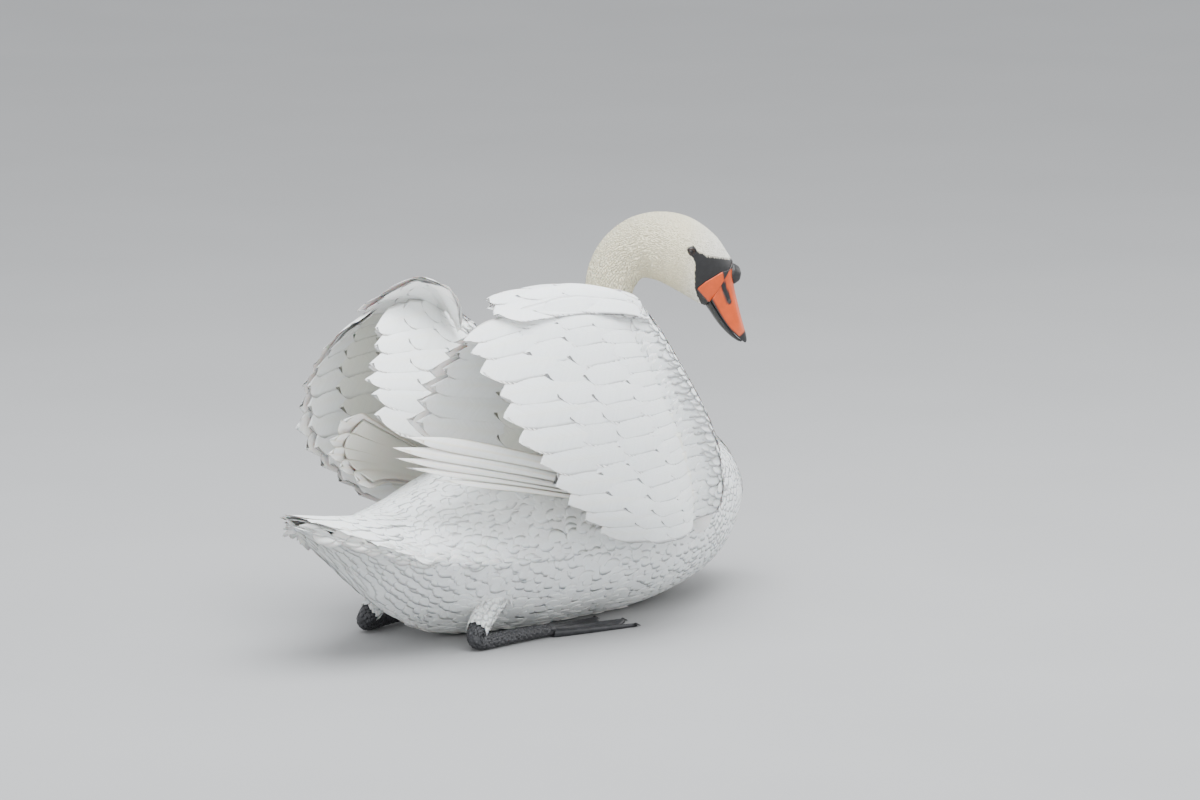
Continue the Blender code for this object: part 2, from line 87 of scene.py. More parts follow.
# Grey for plumage low on the trunk and on the thighs, and for painted shade under the tail.
WET_AND_SHADE_GREY = (0.60, 0.59, 0.54)
BLACK_SKIN = (0.012, 0.012, 0.013)
PUPIL = (0.005, 0.004, 0.004)
IRIS = (0.022, 0.011, 0.006)
IRIS_RIM = (0.006, 0.005, 0.005)
PLUME_FLOOR = 0.0003  # lowest point of a plume, in metres
SKIN_FLOOR = 0.0008
FOOT_FLOOR = 0.0004


# --- small maths ---
def unit(vectors: Array) -> Array:
    """Vectors of length one along the last axis."""
    return vectors / np.maximum(np.linalg.norm(vectors, axis=-1, keepdims=True), 1e-12)


def dot(a: Array, b: Array) -> Array:
    """Scalar products along the last axis."""
    return np.sum(a * b, axis=-1)


def signed_power(value: Array, power: Array | float) -> Array:
    """Values to a power, with their signs kept."""
    return np.sign(value) * np.abs(value) ** power


def smooth_step(value: Array, low: float, high: float) -> Array:
    """A soft ramp from 0 at low to 1 at high."""
    share = np.clip((value - low) / (high - low), 0.0, 1.0)
    return share * share * (3.0 - 2.0 * share)


def spline_at(rows: Array, t: Array) -> Array:
    """Points on the smooth curve through rows.

    Args:
        rows: The points that the curve passes, one a row.
        t: Places along the curve, 0 to 1, in any shape.

    Returns:
        One point for each place, in one more dimension than t.
    """
    last = len(rows) - 1
    padded = np.vstack([2 * rows[0] - rows[1], rows, 2 * rows[-1] - rows[-2]])
    at = np.clip(t, 0.0, 1.0) * last
    index = np.minimum(at.astype(int), last - 1)
    s = (at - index)[..., None]
    before, a, b, after = (padded[index + step] for step in range(4))
    square = (2 * before - 5 * a + 4 * b - after) * s * s
    cube = (3 * a - before - 3 * b + after) * s * s * s
    return 0.5 * (2 * a + (b - before) * s + square + cube)


def mix(a: Array, b: Colour, share: Array) -> Array:
    """Colours a moved towards colour b by share."""
    return a + (np.array(b) - a) * share[..., None]


def tiled(colour: Colour, count: int) -> Array:
    """One colour repeated, a row for each point."""
    return np.tile(np.array(colour), (count, 1))


def ring(count: int) -> Array:
    """Angles once round, without the last."""
    return np.linspace(0, 2 * math.pi, count, endpoint=False)


def grid_of(rows: Array, columns: Array) -> list[Array]:
    """Two arrays that give every pairing of rows with columns."""
    return np.meshgrid(rows, columns, indexing="ij")


def turned(x: Array, y: Array, z: Array, turn: Array | float) -> Array:
    """Points turned about the neck's upright axis by a share of the head's turn.

    Args:
        x: Distances ahead.
        y: Distances to the left.
        z: Heights.
        turn: Share of the head's turn.

    Returns:
        The turned points.
    """
    angle = HEAD_TURN * turn
    ahead = x - NECK_PIVOT_X
    return np.stack([NECK_PIVOT_X + ahead * np.cos(angle) - y * np.sin(angle),
                     ahead * np.sin(angle) + y * np.cos(angle), z], axis=-1)


def head_place(points: Array) -> Array:
    """Points of the model in the head's own plane: millimetres ahead, to its left and up.

    Args:
        points: Points of the model, in metres.

    Returns:
        Their places in millimetres.
    """
    ahead, left = points[..., 0] - NECK_PIVOT_X, points[..., 1]
    c, s = math.cos(-HEAD_TURN), math.sin(-HEAD_TURN)
    turned_ahead, turned_left = NECK_PIVOT_X + ahead * c - left * s, ahead * s + left * c
    return np.stack([turned_ahead, turned_left, points[..., 2]], axis=-1) / MM


def head_points(x: Array, y: Array, z: Array) -> Array:
    """Places in the head's own plane, in millimetres, as points of the model."""
    return turned(np.asarray(x) * MM, np.asarray(y) * MM, np.asarray(z) * MM, 1.0)


# --- surfaces ---
class Surface:
    """A smooth surface over (s, t), where s runs along the lie of the feathers and t across it."""

    facing: float = 1.0
    lift: float = 0.0
    s_span: Span = (0.0, 1.0)
    t_span: Span = (0.0, 1.0)
    closed: bool = False
    STEP = 1e-3

    def shape(self, s: Array, t: Array) -> Array:
        """The bare surface, before its lift."""
        raise NotImplementedError

    def slopes(self, s: Array, t: Array) -> tuple[Array, Array, Array]:
        """Change of place with s, change with t, and the unit normal.

        Args:
            s: Places along the lie.
            t: Places across it.

        Returns:
            Both changes and the normal, one row a place.
        """
        along = (self.shape(s + self.STEP, t) - self.shape(s - self.STEP, t)) / (2 * self.STEP)
        low, high = (t - self.STEP, t + self.STEP)
        if not self.closed:
            low, high = np.maximum(low, self.t_span[0]), np.minimum(high, self.t_span[1])
        across = (self.shape(s, high) - self.shape(s, low)) / (high - low)[..., None]
        return along, across, unit(np.cross(across, along)) * self.facing

    def at(self, s: Array, t: Array, height: Array | float = 0.0) -> Array:
        """Points at a height above the surface.

        Args:
            s: Places along the lie.
            t: Places across it.
            height: Height above the surface and its lift.

        Returns:
            The points.
        """
        normal = self.slopes(s, t)[2]
        rise = np.asarray(height + self.lift)
        return self.shape(s, t) + normal * rise[..., None]

    def chart(self, s: Array, t: Array) -> Array:
        """Where (s, t) lies on the unwrap of the surface, from 0.01 to 0.99 each way.

        Args:
            s: Places along the lie.
            t: Places across it.

        Returns:
            Places on the unwrap.
        """
        across = (t - self.t_span[0]) / (self.t_span[1] - self.t_span[0])
        along = (s - self.s_span[0]) / (self.s_span[1] - self.s_span[0])
        if self.closed:
            across = across % 1.0
        return np.clip(np.stack([along, across], axis=-1), 0.0, 1.0) * 0.98 + 0.01


@dataclass(frozen=True)
class Station:
    """One cross-section of trunk, neck or head, before the neck's turn, in millimetres.

    top and keel are (x, z) of its ends, width its half-width, waist where it is widest from keel to top,
    upper and lower the powers of its two halves, and turn its share of the head's turn.
    """

    top: Span
    keel: Span
    width: float
    waist: float = 0.5
    upper: float = 2.0
    lower: float = 2.0
    turn: float = 0.0

    def row(self) -> tuple[float, ...]:
        """The station's values as one row, for interpolation."""
        return (*self.top, *self.keel, self.width, self.waist, self.upper, self.lower, self.turn)


STATIONS = {
    "under_tail": Station((-404, 159), (-402, 154), 14, 0.5),
    "vent": Station((-368, 149), (-362, 129), 42, 0.60, 2.0, 1.6),
    "rump_end": Station((-322, 145), (-313, 88), 70, 0.60, 2.0, 1.4),
    "rump": Station((-270, 151), (-262, 42), 89, 0.62, 2.0, 1.4),
    "loin": Station((-200, 166), (-194, 9), 106, 0.58, 1.9, 1.4),
    "back": Station((-100, 187), (-100, -7), 131, 0.55, 2.0, 1.6),
    "middle": Station((0, 200), (0, -9), 143, 0.52, 2.1, 1.8),
    "chest": Station((75, 207), (95, -7), 144, 0.53, 2.1, 2.0),
    "shoulder": Station((118, 210), (178, 3), 131, 0.53, 2.1, 2.0),
    "crop": Station((136, 211), (243, 20), 111, 0.52),
    "breast": Station((148, 213), (292, 52), 93, 0.52),
    "bulge": Station((157, 217), (318, 92), 78, 0.52),
    "neck_base": Station((160, 224), (304, 136), 63, 0.52),
    "neck_low": Station((158, 238), (264, 172), 51, 0.5),
    "neck_rise": Station((144, 261), (220, 208), 43, 0.5, turn=0.02),
    "neck_hidden": Station((122, 291), (184, 250), 36.5, 0.5, turn=0.08),
    "neck_gap": Station((104, 326), (161, 297), 32, 0.5, turn=0.25),
    "neck_top": Station((95, 360), (147, 337), 29.5, 0.5, turn=0.5),
    "nape_low": Station((103, 391), (152, 356), 29, 0.5, turn=0.7),
    "nape": Station((121, 416), (160, 364), 30, 0.52, turn=0.85),
    "hindhead": Station((148, 434), (170, 363), 32, 0.55, turn=0.95),
    "crown": Station((181, 440), (181, 359), 33.5, 0.56, turn=1.0),
    "brow": Station((214, 433), (199, 349), 31.5, 0.50, turn=1.0),
    "forehead": Station((243, 412), (217, 338), 25.5, 0.46, turn=1.0),
    "face": Station((263, 383), (230, 331), 19.5, 0.46, turn=1.0),
}


class BodyLoft(Surface):
    """Trunk, neck and head as one: s counts stations from bill to tail, t is an angle from the top."""

    closed = True
    t_span = (0.0, 2 * math.pi)

    def __init__(self, s_span: Span = (0.0, 24.0), lift: float = 0.0) -> None:
        """Takes the span that is charted and the height above the surface."""
        self.s_span, self.lift = s_span, lift
        self.rows = np.array([station.row() for station in STATIONS.values()])

    def shape(self, s: Array, t: Array) -> Array:
        """The body's surface, flat where it rests on the floor.

        Args:
            s: Stations from the bill.
            t: Angles from the top.

        Returns:
            Points of the body.
        """
        last = len(self.rows) - 1
        v = spline_at(self.rows, 1.0 - s / last)
        top, keel, width, waist = v[..., 0:2], v[..., 2:4], v[..., 4], v[..., 5]
        power = 2.0 / np.where(np.cos(t) > 0, v[..., 6], v[..., 7])
        rise, side = signed_power(np.cos(t), power), signed_power(np.sin(t), power)
        middle = keel + (top - keel) * waist[..., None]
        end = np.where(rise[..., None] > 0, top, keel)
        flat = middle + (end - middle) * np.abs(rise)[..., None]
        points = turned(flat[..., 0] * MM, width * side * MM, flat[..., 1] * MM, v[..., 8])
        points[..., 2] = np.maximum(points[..., 2], 0.0)
        return points


@dataclass(frozen=True)
class Sheet:
    """A sheet of feathers from front line to rear rim, for the swan's right side, in millimetres."""

    front: tuple
    rim: tuple
    swell: tuple
    bulge: float
    feathers: int


class SheetSurface(Surface):
    """One face of a sheet: s runs from its front line to its rim and t along them."""

    def __init__(self, sheet: Sheet, side: str, facing: float = 1.0, lift: float = 0.0,
                 s_span: Span = (0.0, 1.0)) -> None:
        """Takes the sheet, the swan's side, which way the face looks and its lift.

        Args:
            sheet: The sheet.
            side: The swan's side.
            facing: 1 for its outer face, -1 for its inner.
            lift: Height above it.
            s_span: The span that is charted.
        """
        self.sheet, self.lift, self.s_span = sheet, lift, s_span
        self.mirror = 1.0 if side == "right" else -1.0
        self.facing = facing * self.mirror
        self.lines = [np.array(line, float) * MM for line in (sheet.front, sheet.rim, sheet.swell)]

    def shape(self, s: Array, t: Array) -> Array:
        """The sheet as the solids have it.

        Args:
            s: Places from front line to rim.
            t: Places along them.

        Returns:
            Points of the sheet.
        """
        front, rim, swell = (spline_at(line, t) for line in self.lines)
        rise = self.sheet.bulge * np.sin(math.pi * np.clip(s, 0.0, 1.0) ** 0.85)
        points = front * (1 - s)[..., None] + rim * s[..., None] + swell * rise[..., None]
        return points * np.array([1.0, self.mirror, 1.0])


class WingFace(SheetSurface):
    """A wing's outer face: below s = 0 it rolls round the arm, and above it runs into the shield."""

    JOIN = 0.40
    ROLL = 0.30
    LAST_ANGLE = math.radians(60)

    def __init__(self, wing: "Wing", side: str, **options: object) -> None:
        """Takes the wing and its side."""
        super().__init__(wing.shield, side, **options)
        self.arm = np.array([(z, *outer, *inner, thick) for z, outer, inner, thick in wing.arm], float)

    def round_arm(self, z: Array, angle: Array) -> Array:
        """The arm's surface at a height and at an angle from its outer end, for the right-hand side.

        Args:
            z: Heights in millimetres.
            angle: Angles from the arm's outer end.

        Returns:
            Points of the arm.
        """
        index = np.interp(z, self.arm[:, 0], np.arange(len(self.arm))) / (len(self.arm) - 1)
        v = spline_at(self.arm, index)
        outer, inner, thick = v[..., 1:3] * MM, v[..., 3:5] * MM, v[..., 5] * MM
        along = unit(outer - inner)
        half = np.linalg.norm(outer - inner, axis=-1) / 2 + thick
        across = np.stack([along[..., 1], -along[..., 0]], axis=-1)
        flat = (outer + inner) / 2 + along * (half * signed_power(np.cos(angle), 0.8))[..., None]
        flat = flat + across * (thick * signed_power(np.sin(angle), 0.9))[..., None]
        return np.concatenate([flat, (z * MM)[..., None]], axis=-1)

    def shape(self, s: Array, t: Array) -> Array:
        """The arm's roll blended into the shield.

        Args:
            s: Places from front line to rim.
            t: Places along them.

        Returns:
            Points of the wing's face.
        """
        sheet = super().shape(s, t)
        z = spline_at(self.lines[0], t)[..., 2] / MM
        angle = np.minimum(math.pi / 2 * (s / self.ROLL), self.LAST_ANGLE)
        arm = self.round_arm(z, angle) * np.array([1.0, self.mirror, 1.0])
        share = smooth_step(s, -0.02, self.JOIN)[..., None]
        return arm * (1 - share) + sheet * share


class ArmBack(WingFace):
    """The inner side of a wing's arm: s runs from the leading edge back towards the body."""

    LEADING_EDGE = -0.24

    def __init__(self, wing: "Wing", side: str, **options: object) -> None:
        """Takes the wing and its side."""
        super().__init__(wing, side, facing=-1.0, **options)

    def shape(self, s: Array, t: Array) -> Array:
        """The wing's face walked the other way, from its leading edge."""
        return super().shape(self.LEADING_EDGE - s, t)


@dataclass(frozen=True)
class Wing:
    """One raised wing: arm sections (height, outer end, inner end, half-thickness) and feather sheets."""

    arm: tuple
    shield: Sheet
    inner: Sheet
    crest: Sheet
    flight: Sheet


OUTWARD = ((0, -1000, -250), (0, -1000, 0), (0, -950, 200), (0, -600, 700))
INWARD = ((0, 300, -900), (0, 900, 0), (0, 800, 600), (0, 200, 1000))
UPWARD = ((0, -300, 800), (0, 0, 1000), (0, 200, 900), (0, 500, 600))
SHIELD_FRONT = ((112, -132, 118), (108, -141, 150), (92, -147, 195), (66, -151, 240), (35, -150, 288),
             (8, -142, 335), (-2, -132, 362))
ARM = (
    (78, (106, -112), (96, -70), 13),
    (100, (112, -128), (98, -66), 22),
    (140, (112, -137), (92, -64), 27),
    (190, (98, -142), (80, -66), 28),
    (240, (72, -144), (58, -80), 27),
)
RIGHT_WING = Wing(
    arm=ARM + ((290, (40, -141), (32, -99), 25), (335, (13, -136), (8, -116), 21),
               (366, (-2, -130), (-4, -124), 12)),
    shield=Sheet(
        front=SHIELD_FRONT,
        rim=((-88, -176, 119), (-138, -183, 150), (-184, -180, 185), (-214, -171, 225), (-233, -155, 266),
             (-240, -133, 304), (-240, -108, 338), (-236, -88, 356)),
        swell=OUTWARD, bulge=34 * MM, feathers=11,
    ),
    inner=Sheet(
        front=((66, -66, 196), (52, -76, 245), (28, -96, 295), (2, -126, 350)),
        rim=((-258, -24, 247), (-252, -34, 281), (-240, -42, 305), (-222, -52, 331), (-226, -82, 352)),
        swell=INWARD, bulge=16 * MM, feathers=6,
    ),
    crest=Sheet(
        front=((4, -156, 352), (-4, -140, 375), (-4, -118, 368), (10, -96, 338)),
        rim=((-204, -118, 368), (-198, -84, 380), (-168, -66, 388), (-150, -52, 366)),
        swell=UPWARD, bulge=13 * MM, feathers=3,
    ),
    flight=Sheet(
        front=((56, -146, 104), (56, -150, 116), (56, -151, 128)),
        rim=((-262, -74, 194), (-284, -52, 213), (-292, -42, 232), (-270, -52, 251)),
        swell=((0, -1000, 300), (0, -1000, 200), (0, -900, 300)),
        bulge=40 * MM, feathers=5,
    ),
)
LEFT_WING = Wing(
    arm=ARM + ((285, (36, -142), (28, -105), 22), (318, (8, -140), (4, -122), 15),
               (334, (-6, -134), (-10, -126), 8)),
    shield=replace(
        RIGHT_WING.shield,
        front=SHIELD_FRONT[:-2] + ((10, -142, 318), (-10, -134, 334)),
        rim=((-88, -176, 119), (-138, -183, 150), (-184, -180, 185), (-213, -172, 225), (-222, -160, 266),
             (-212, -146, 300), (-192, -130, 328), (-168, -112, 345)),
        swell=((0, -1000, -250), (0, -1000, 0), (0, -980, 150), (0, -900, 400)), bulge=30 * MM,
    ),
    inner=replace(
        RIGHT_WING.inner,
        front=((66, -66, 196), (48, -78, 240), (16, -98, 285), (-12, -122, 325)),
        rim=((-250, -28, 247), (-238, -46, 276), (-220, -64, 296), (-192, -80, 320), (-164, -100, 343)),
    ),
    crest=replace(
        RIGHT_WING.crest,
        front=((-26, -146, 316), (-32, -126, 332), (-38, -102, 338), (-46, -78, 320)),
        rim=((-168, -128, 350), (-154, -106, 368), (-126, -80, 388), (-98, -62, 382)),
        bulge=14 * MM,
    ),
    flight=replace(
        RIGHT_WING.flight,
        rim=((-228, -56, 168), (-262, -62, 192), (-290, -54, 216), (-298, -46, 238), (-256, -50, 260)),
    ),
)
WINGS = {"right": RIGHT_WING, "left": LEFT_WING}
TAIL_FAN = Sheet(
    front=((-255, -84, 116), (-255, -52, 140), (-255, 0, 151), (-255, 52, 140), (-255, 84, 116)),
    rim=((-294, -83, 113), (-350, -58, 138), (-428, 0, 174), (-350, 58, 138), (-294, 83, 113)),
    swell=((0, 0, -1000), (0, 0, -1000), (0, 0, -1000)),
    bulge=4 * MM, feathers=9,
)


# Each bill half's sections in the head's plane, in millimetres: (domed side, flat cutting edge, half-width).
UPPER_BILL = (
    ((262.7, 382.1), (235.6, 339.3), 17.0),
    ((262.4, 367.0), (241.4, 330.0), 16.5),
    ((264.8, 351.0), (247.0, 321.0), 15.0),
    ((268.0, 337.0), (252.4, 313.0), 14.0),
    ((271.4, 323.0), (258.2, 305.6), 13.0),
    ((275.0, 310.0), (264.6, 298.8), 11.5),
    ((278.2, 299.0), (270.6, 293.2), 8.5),
    ((279.6, 291.4), (275.4, 289.0), 4.5),
    ((279.2, 288.2), (277.6, 287.6), 1.8),
)
LOWER_BILL = (
    ((231.6, 332.6), (234.8, 337.7), 13.0),
    ((236.8, 325.4), (240.6, 328.8), 12.5),
    ((242.6, 316.4), (246.2, 319.8), 11.5),
    ((248.4, 308.6), (251.7, 311.9), 10.5),
    ((254.6, 301.6), (257.5, 304.5), 9.5),
    ((261.4, 295.2), (263.8, 297.7), 8.0),
    ((268.2, 290.4), (269.6, 292.2), 5.5),
    ((272.6, 288.6), (273.2, 289.6), 2.5),
)

# --- meshes ---
def put(name: str, data: bpy.types.ID) -> Piece:
    """Puts a mesh, lamp or camera in the scene.

    Args:
        name: Its name.
        data: What it holds.

    Returns:
        The object.
    """
    made = bpy.data.objects.new(name, data)
    bpy.context.scene.collection.objects.link(made)
    return made


def new_object(name: str, mesh: Mesh) -> Piece:
    """Names a mesh and puts it in the scene."""
    mesh.name = name
    return put(name, mesh)


def mesh_from(points: Array, faces: Array | list, name: str = "piece") -> Mesh:
    """A mesh of points and faces, shaded smooth.

    Args:
        points: Points, one a row.
        faces: Each face's points.
        name: Its name.

    Returns:
        The mesh.
    """
    mesh = bpy.data.meshes.new(name)
    mesh.from_pydata(points.tolist(), [], faces.tolist() if isinstance(faces, Array) else faces)
    shade_smooth(mesh)
    mesh.update()
    return mesh


def grid_faces(rows: int, columns: int, wrap: bool = False, flip: bool = False) -> Array:
    """The quads of a grid of rows by columns points, whose columns may close into a ring.

    Args:
        rows: Rows of points.
        columns: Points in a row.
        wrap: Whether rows are rings.
        flip: Whether the faces look the other way.

    Returns:
        Four points a face.
    """
    reach = columns if wrap else columns - 1
    r, c = np.meshgrid(np.arange(rows - 1), np.arange(reach), indexing="ij")
    r, c = r.ravel(), c.ravel()
    after = (c + 1) % columns
    row, beyond = r * columns, (r + 1) * columns
    quads = np.stack([row + c, row + after, beyond + after, beyond + c], 1)
    return quads[:, ::-1] if flip else quads


def shade_smooth(mesh: Mesh) -> None:
    """Shades every face smooth."""
    mesh.polygons.foreach_set("use_smooth", np.ones(len(mesh.polygons), bool))


def paint(mesh: Mesh, name: str, values: Array) -> None:
    """Stores a colour (3 numbers a point) on a mesh.

    Args:
        mesh: The mesh.
        name: Name of the attribute.
        values: Colours.
    """
    layer = mesh.attributes.new(name, "FLOAT_COLOR", "POINT")
    full = np.concatenate([values, np.ones((len(values), 1))], axis=1)
    layer.data.foreach_set("color", full.astype(np.float32).ravel())


def store_vectors(mesh: Mesh, name: str, values: Array) -> None:
    """Stores a vector a point on a mesh."""
    layer = mesh.attributes.new(name, "FLOAT_VECTOR", "POINT")
    layer.data.foreach_set("vector", np.ascontiguousarray(values, np.float32).ravel())


def points_of(mesh: Mesh) -> Array:
    """A mesh's points, one a row.

    Args:
        mesh: The mesh.

    Returns:
        The points.
    """
    points = np.empty(len(mesh.vertices) * 3, np.float32)
    mesh.vertices.foreach_get("co", points)
    return points.reshape(-1, 3).astype(float)


def store_patches(mesh: Mesh, places: Array) -> None:
    """Stores each point's place on the bake map, corner by corner.

    Args:
        mesh: The mesh.
        places: A place on the map for each point.
    """
    bake = mesh.attributes.new(BAKE_MAP, "FLOAT2", "CORNER")
    loops = np.empty(len(mesh.loops), np.int32)
    mesh.loops.foreach_get("vertex_index", loops)
    bake.data.foreach_set("vector", places[loops].astype(np.float32).ravel())


def clean(mesh: Mesh, within: float = 1e-6) -> None:
    """Merges doubled points and turns the faces outwards.

    Args:
        mesh: The mesh.
        within: How near doubled points lie.
    """
    shape = bmesh.new()
    shape.from_mesh(mesh)
    bmesh.ops.remove_doubles(shape, verts=shape.verts, dist=within)
    bmesh.ops.recalc_face_normals(shape, faces=shape.faces)
    shape.to_mesh(mesh)
    shape.free()


def join(name: str, parts: list[Piece]) -> Piece:
    """Joins objects into one piece under a name.

    Args:
        name: Name of the piece.
        parts: The objects, of which the first is kept.

    Returns:
        The piece.
    """
    bpy.ops.object.select_all(action="DESELECT")
    for part in parts:
        part.select_set(True)
    bpy.context.view_layer.objects.active = parts[0]
    if len(parts) > 1:
        bpy.ops.object.join()
    parts[0].name = parts[0].data.name = name
    return parts[0]


def triangle_count(mesh: Mesh) -> int:
    """How many triangles a mesh makes.

    Args:
        mesh: The mesh.

    Returns:
        The count.
    """
    sides = np.empty(len(mesh.polygons), np.int32)
    mesh.polygons.foreach_get("loop_total", sides)
    return int((sides - 2).sum())


def hand_in(piece: Piece, slot: str, *nodes: str) -> None:
    """Rides a finished piece on the body, hides and names the solids it stands for, and reports it.

    Args:
        piece: The piece.
        slot: Its finish; not used.
        nodes: The solids that it stands for.
    """
    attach(piece, ROOT_BODY)
    if nodes:
        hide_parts(*nodes)
    count = triangle_count(piece.data)
    LOG.info("%s: %d triangles, stands for %s", piece.name, count, ", ".join(nodes) or "none")


def loft_mesh(rings: Array) -> Mesh:
    """A closed mesh through rings (rows, points a ring, 3), capped by fans at both ends.

    Args:
        rings: The rings, in order.

    Returns:
        The mesh.
    """
    rows, columns = rings.shape[:2]
    points = np.concatenate([rings.reshape(-1, 3), rings[0].mean(0)[None], rings[-1].mean(0)[None]])
    faces = grid_faces(rows, columns, wrap=True).tolist()
    first, last = rows * columns, rows * columns + 1
    for c in range(columns):
        after = (c + 1) % columns
        faces.append((first, after, c))
        faces.append((last, (rows - 1) * columns + c, (rows - 1) * columns + after))
    mesh = mesh_from(points, faces)
    clean(mesh)
    shade_smooth(mesh)
    return mesh


# --- markings, shared by skin and coat ---
# The bare black skin between eye and bill, then the bill's side plates, in the head's plane (ahead, up).
MASK_OUTLINE = (
    (205.0, 400.6), (208.5, 403.0), (213.0, 402.2), (220.0, 397.0), (229.0, 391.6), (240.0, 389.0),
    (250.0, 387.0), (258.0, 384.5), (266.0, 386.0), (266.0, 326.0), (232.0, 326.0), (226.5, 333.5),
    (219.5, 345.0), (216.0, 355.0), (214.8, 371.0), (215.2, 384.0), (212.5, 391.0), (207.5, 395.5),
)
HORN_OUTLINE = (
    (218.6, 352.6), (221.0, 356.0), (228.0, 361.8), (238.0, 367.0), (247.0, 371.5), (258.0, 374.0),
    (258.0, 362.0), (256.0, 330.0), (238.5, 334.5), (230.0, 339.5), (223.0, 346.5),
)


def inside(outline: tuple, places: Array) -> Array:
    """Which places (ahead, up) lie inside an outline.

    Args:
        outline: Corners in order.
        places: Places, one a row.

    Returns:
        True for each place inside.
    """
    corners = np.array(outline)
    found = np.zeros(places.shape[0], bool)
    for (x1, z1), (x2, z2) in zip(corners, np.roll(corners, -1, axis=0)):
        crosses = (z1 > places[:, 1]) != (z2 > places[:, 1])
        at = x1 + (places[:, 1] - z1) * (x2 - x1) / (z2 - z1 if z2 != z1 else 1e-9)
        found ^= crosses & (places[:, 0] < at)
    return found


def body_tint(points: Array, s: Array) -> Array:
    """The colour of skin and plumes on trunk, neck and head, by place and station, with painted shade under
    the tail.

    Args:
        points: Points of the model.
        s: Their stations from the bill.

    Returns:
        Colours, one a row.
    """
    tint = tiled(WHITE, len(points))
    cream = smooth_step(-s, -12.2, -8.6) * (1 - 0.55 * smooth_step(-s, -2.4, -0.6))
    tint = mix(tint, CREAM, cream * 0.95)
    # Greyer towards the floor on the trunk, below 60 mm.
    low = 1 - smooth_step(points[:, 2], 0.010, 0.060)
    tint = mix(tint, WET_AND_SHADE_GREY, low * 0.45 * smooth_step(s, 12.0, 13.5))
    # Mostly painted shade: grey under the tail and vent, where the feathers lie in shade, with a slight grey
    # of their own.
    vent = smooth_step(-points[:, 0], 0.25, 0.36) * (1 - smooth_step(points[:, 2], 0.125, 0.160))
    return mix(tint, WET_AND_SHADE_GREY, vent * 0.55)


# --- plumes by Geometry Nodes ---
Term = Socket | float | tuple


class NodeMaker:
    """Shorthand for placing and linking nodes in a tree."""

    def __init__(self, tree: bpy.types.NodeTree) -> None:
        """Takes the tree."""
        self.nodes, self.links = tree.nodes, tree.links

    def node(self, kind: str, **settings: object) -> bpy.types.Node:
        """A new node with its settings.

        Args:
            kind: Blender's type of node.
            settings: Values of its properties.

        Returns:
            The node.
        """
        made = self.nodes.new(kind)
        for key, value in settings.items():
            setattr(made, key, value)
        return made

    def link(self, source: Term, target: Socket) -> None:
        """Feeds a socket from another, or with a fixed value."""
        if isinstance(source, Socket):
            self.links.new(source, target)
        else:
            target.default_value = source

    def math(self, operation: str, *terms: Term) -> Socket:
        """A number worked out from others.

        Args:
            operation: What is done.
            terms: Numbers or sockets.

        Returns:
            The result.
        """
        made = self.node("ShaderNodeMath", operation=operation)
        for term, socket in zip(terms, made.inputs):
            self.link(term, socket)
        return made.outputs[0]


class TreeMaker(NodeMaker):
    """Shorthand for building one Geometry Nodes tree."""

    def __init__(self, name: str) -> None:
        """Starts an empty tree with a geometry input and output.

        Args:
            name: The tree's name.
        """
        self.tree = bpy.data.node_groups.new(name, "GeometryNodeTree")
        super().__init__(self.tree)
        self.tree.interface.new_socket("Geometry", in_out="INPUT", socket_type="NodeSocketGeometry")
        self.tree.interface.new_socket("Geometry", in_out="OUTPUT", socket_type="NodeSocketGeometry")
        self.inputs: dict[str, str] = {}

    def input(self, name: str, kind: str) -> None:
        """Adds a named input, such as a size or a finish."""
        made = self.tree.interface.new_socket(name, in_out="INPUT", socket_type=kind)
        self.inputs[name] = made.identifier

    def vector(self, operation: str, a: Term, b: Term | None = None,
               scale: Term | None = None) -> Socket:
        """A vector worked out from others.

        Args:
            operation: What is done.
            a: The first vector.
            b: The second.
            scale: A number to scale by.

        Returns:
            The result.
        """
        made = self.node("ShaderNodeVectorMath", operation=operation)
        self.link(a, made.inputs[0])
        if b is not None:
            self.link(b, made.inputs[1])
        if scale is not None:
            self.link(scale, made.inputs["Scale"])
        return made.outputs[0]

    def split(self, source: Socket) -> list[Socket]:
        """The three numbers of a vector.

        Args:
            source: The vector.

        Returns:
            Its numbers.
        """
        made = self.node("ShaderNodeSeparateXYZ")
        self.link(source, made.inputs[0])
        return list(made.outputs)

    def combine(self, x: Term, y: Term, z: Term) -> Socket:
        """A vector of three numbers.

        Args:
            x: First number.
            y: Second.
            z: Third.

        Returns:
            The vector.
        """
        made = self.node("ShaderNodeCombineXYZ")
        for term, socket in zip((x, y, z), made.inputs):
            self.link(term, socket)
        return made.outputs[0]

    def named(self, name: str) -> Socket:
        """A vector stored on the points under a name.

        Args:
            name: The stored name.

        Returns:
            The vector.
        """
        made = self.node("GeometryNodeInputNamedAttribute", data_type="FLOAT_VECTOR")
        made.inputs["Name"].default_value = name
        return made.outputs["Attribute"]

    def store(self, geometry: Socket, name: str, value: Term, data_type: str = "FLOAT_VECTOR",
              domain: str = "POINT") -> Socket:
        """Stores a value on the geometry under a name.

        Args:
            geometry: What it is stored on.
            name: The name.
            value: The value.
            data_type: Its type.
            domain: Point or corner.

        Returns:
            The geometry.
        """
        made = self.node("GeometryNodeStoreNamedAttribute", data_type=data_type, domain=domain)
        made.inputs["Name"].default_value = name
        self.link(geometry, made.inputs["Geometry"])
        self.link(value, made.inputs["Value"])
        return made.outputs[0]


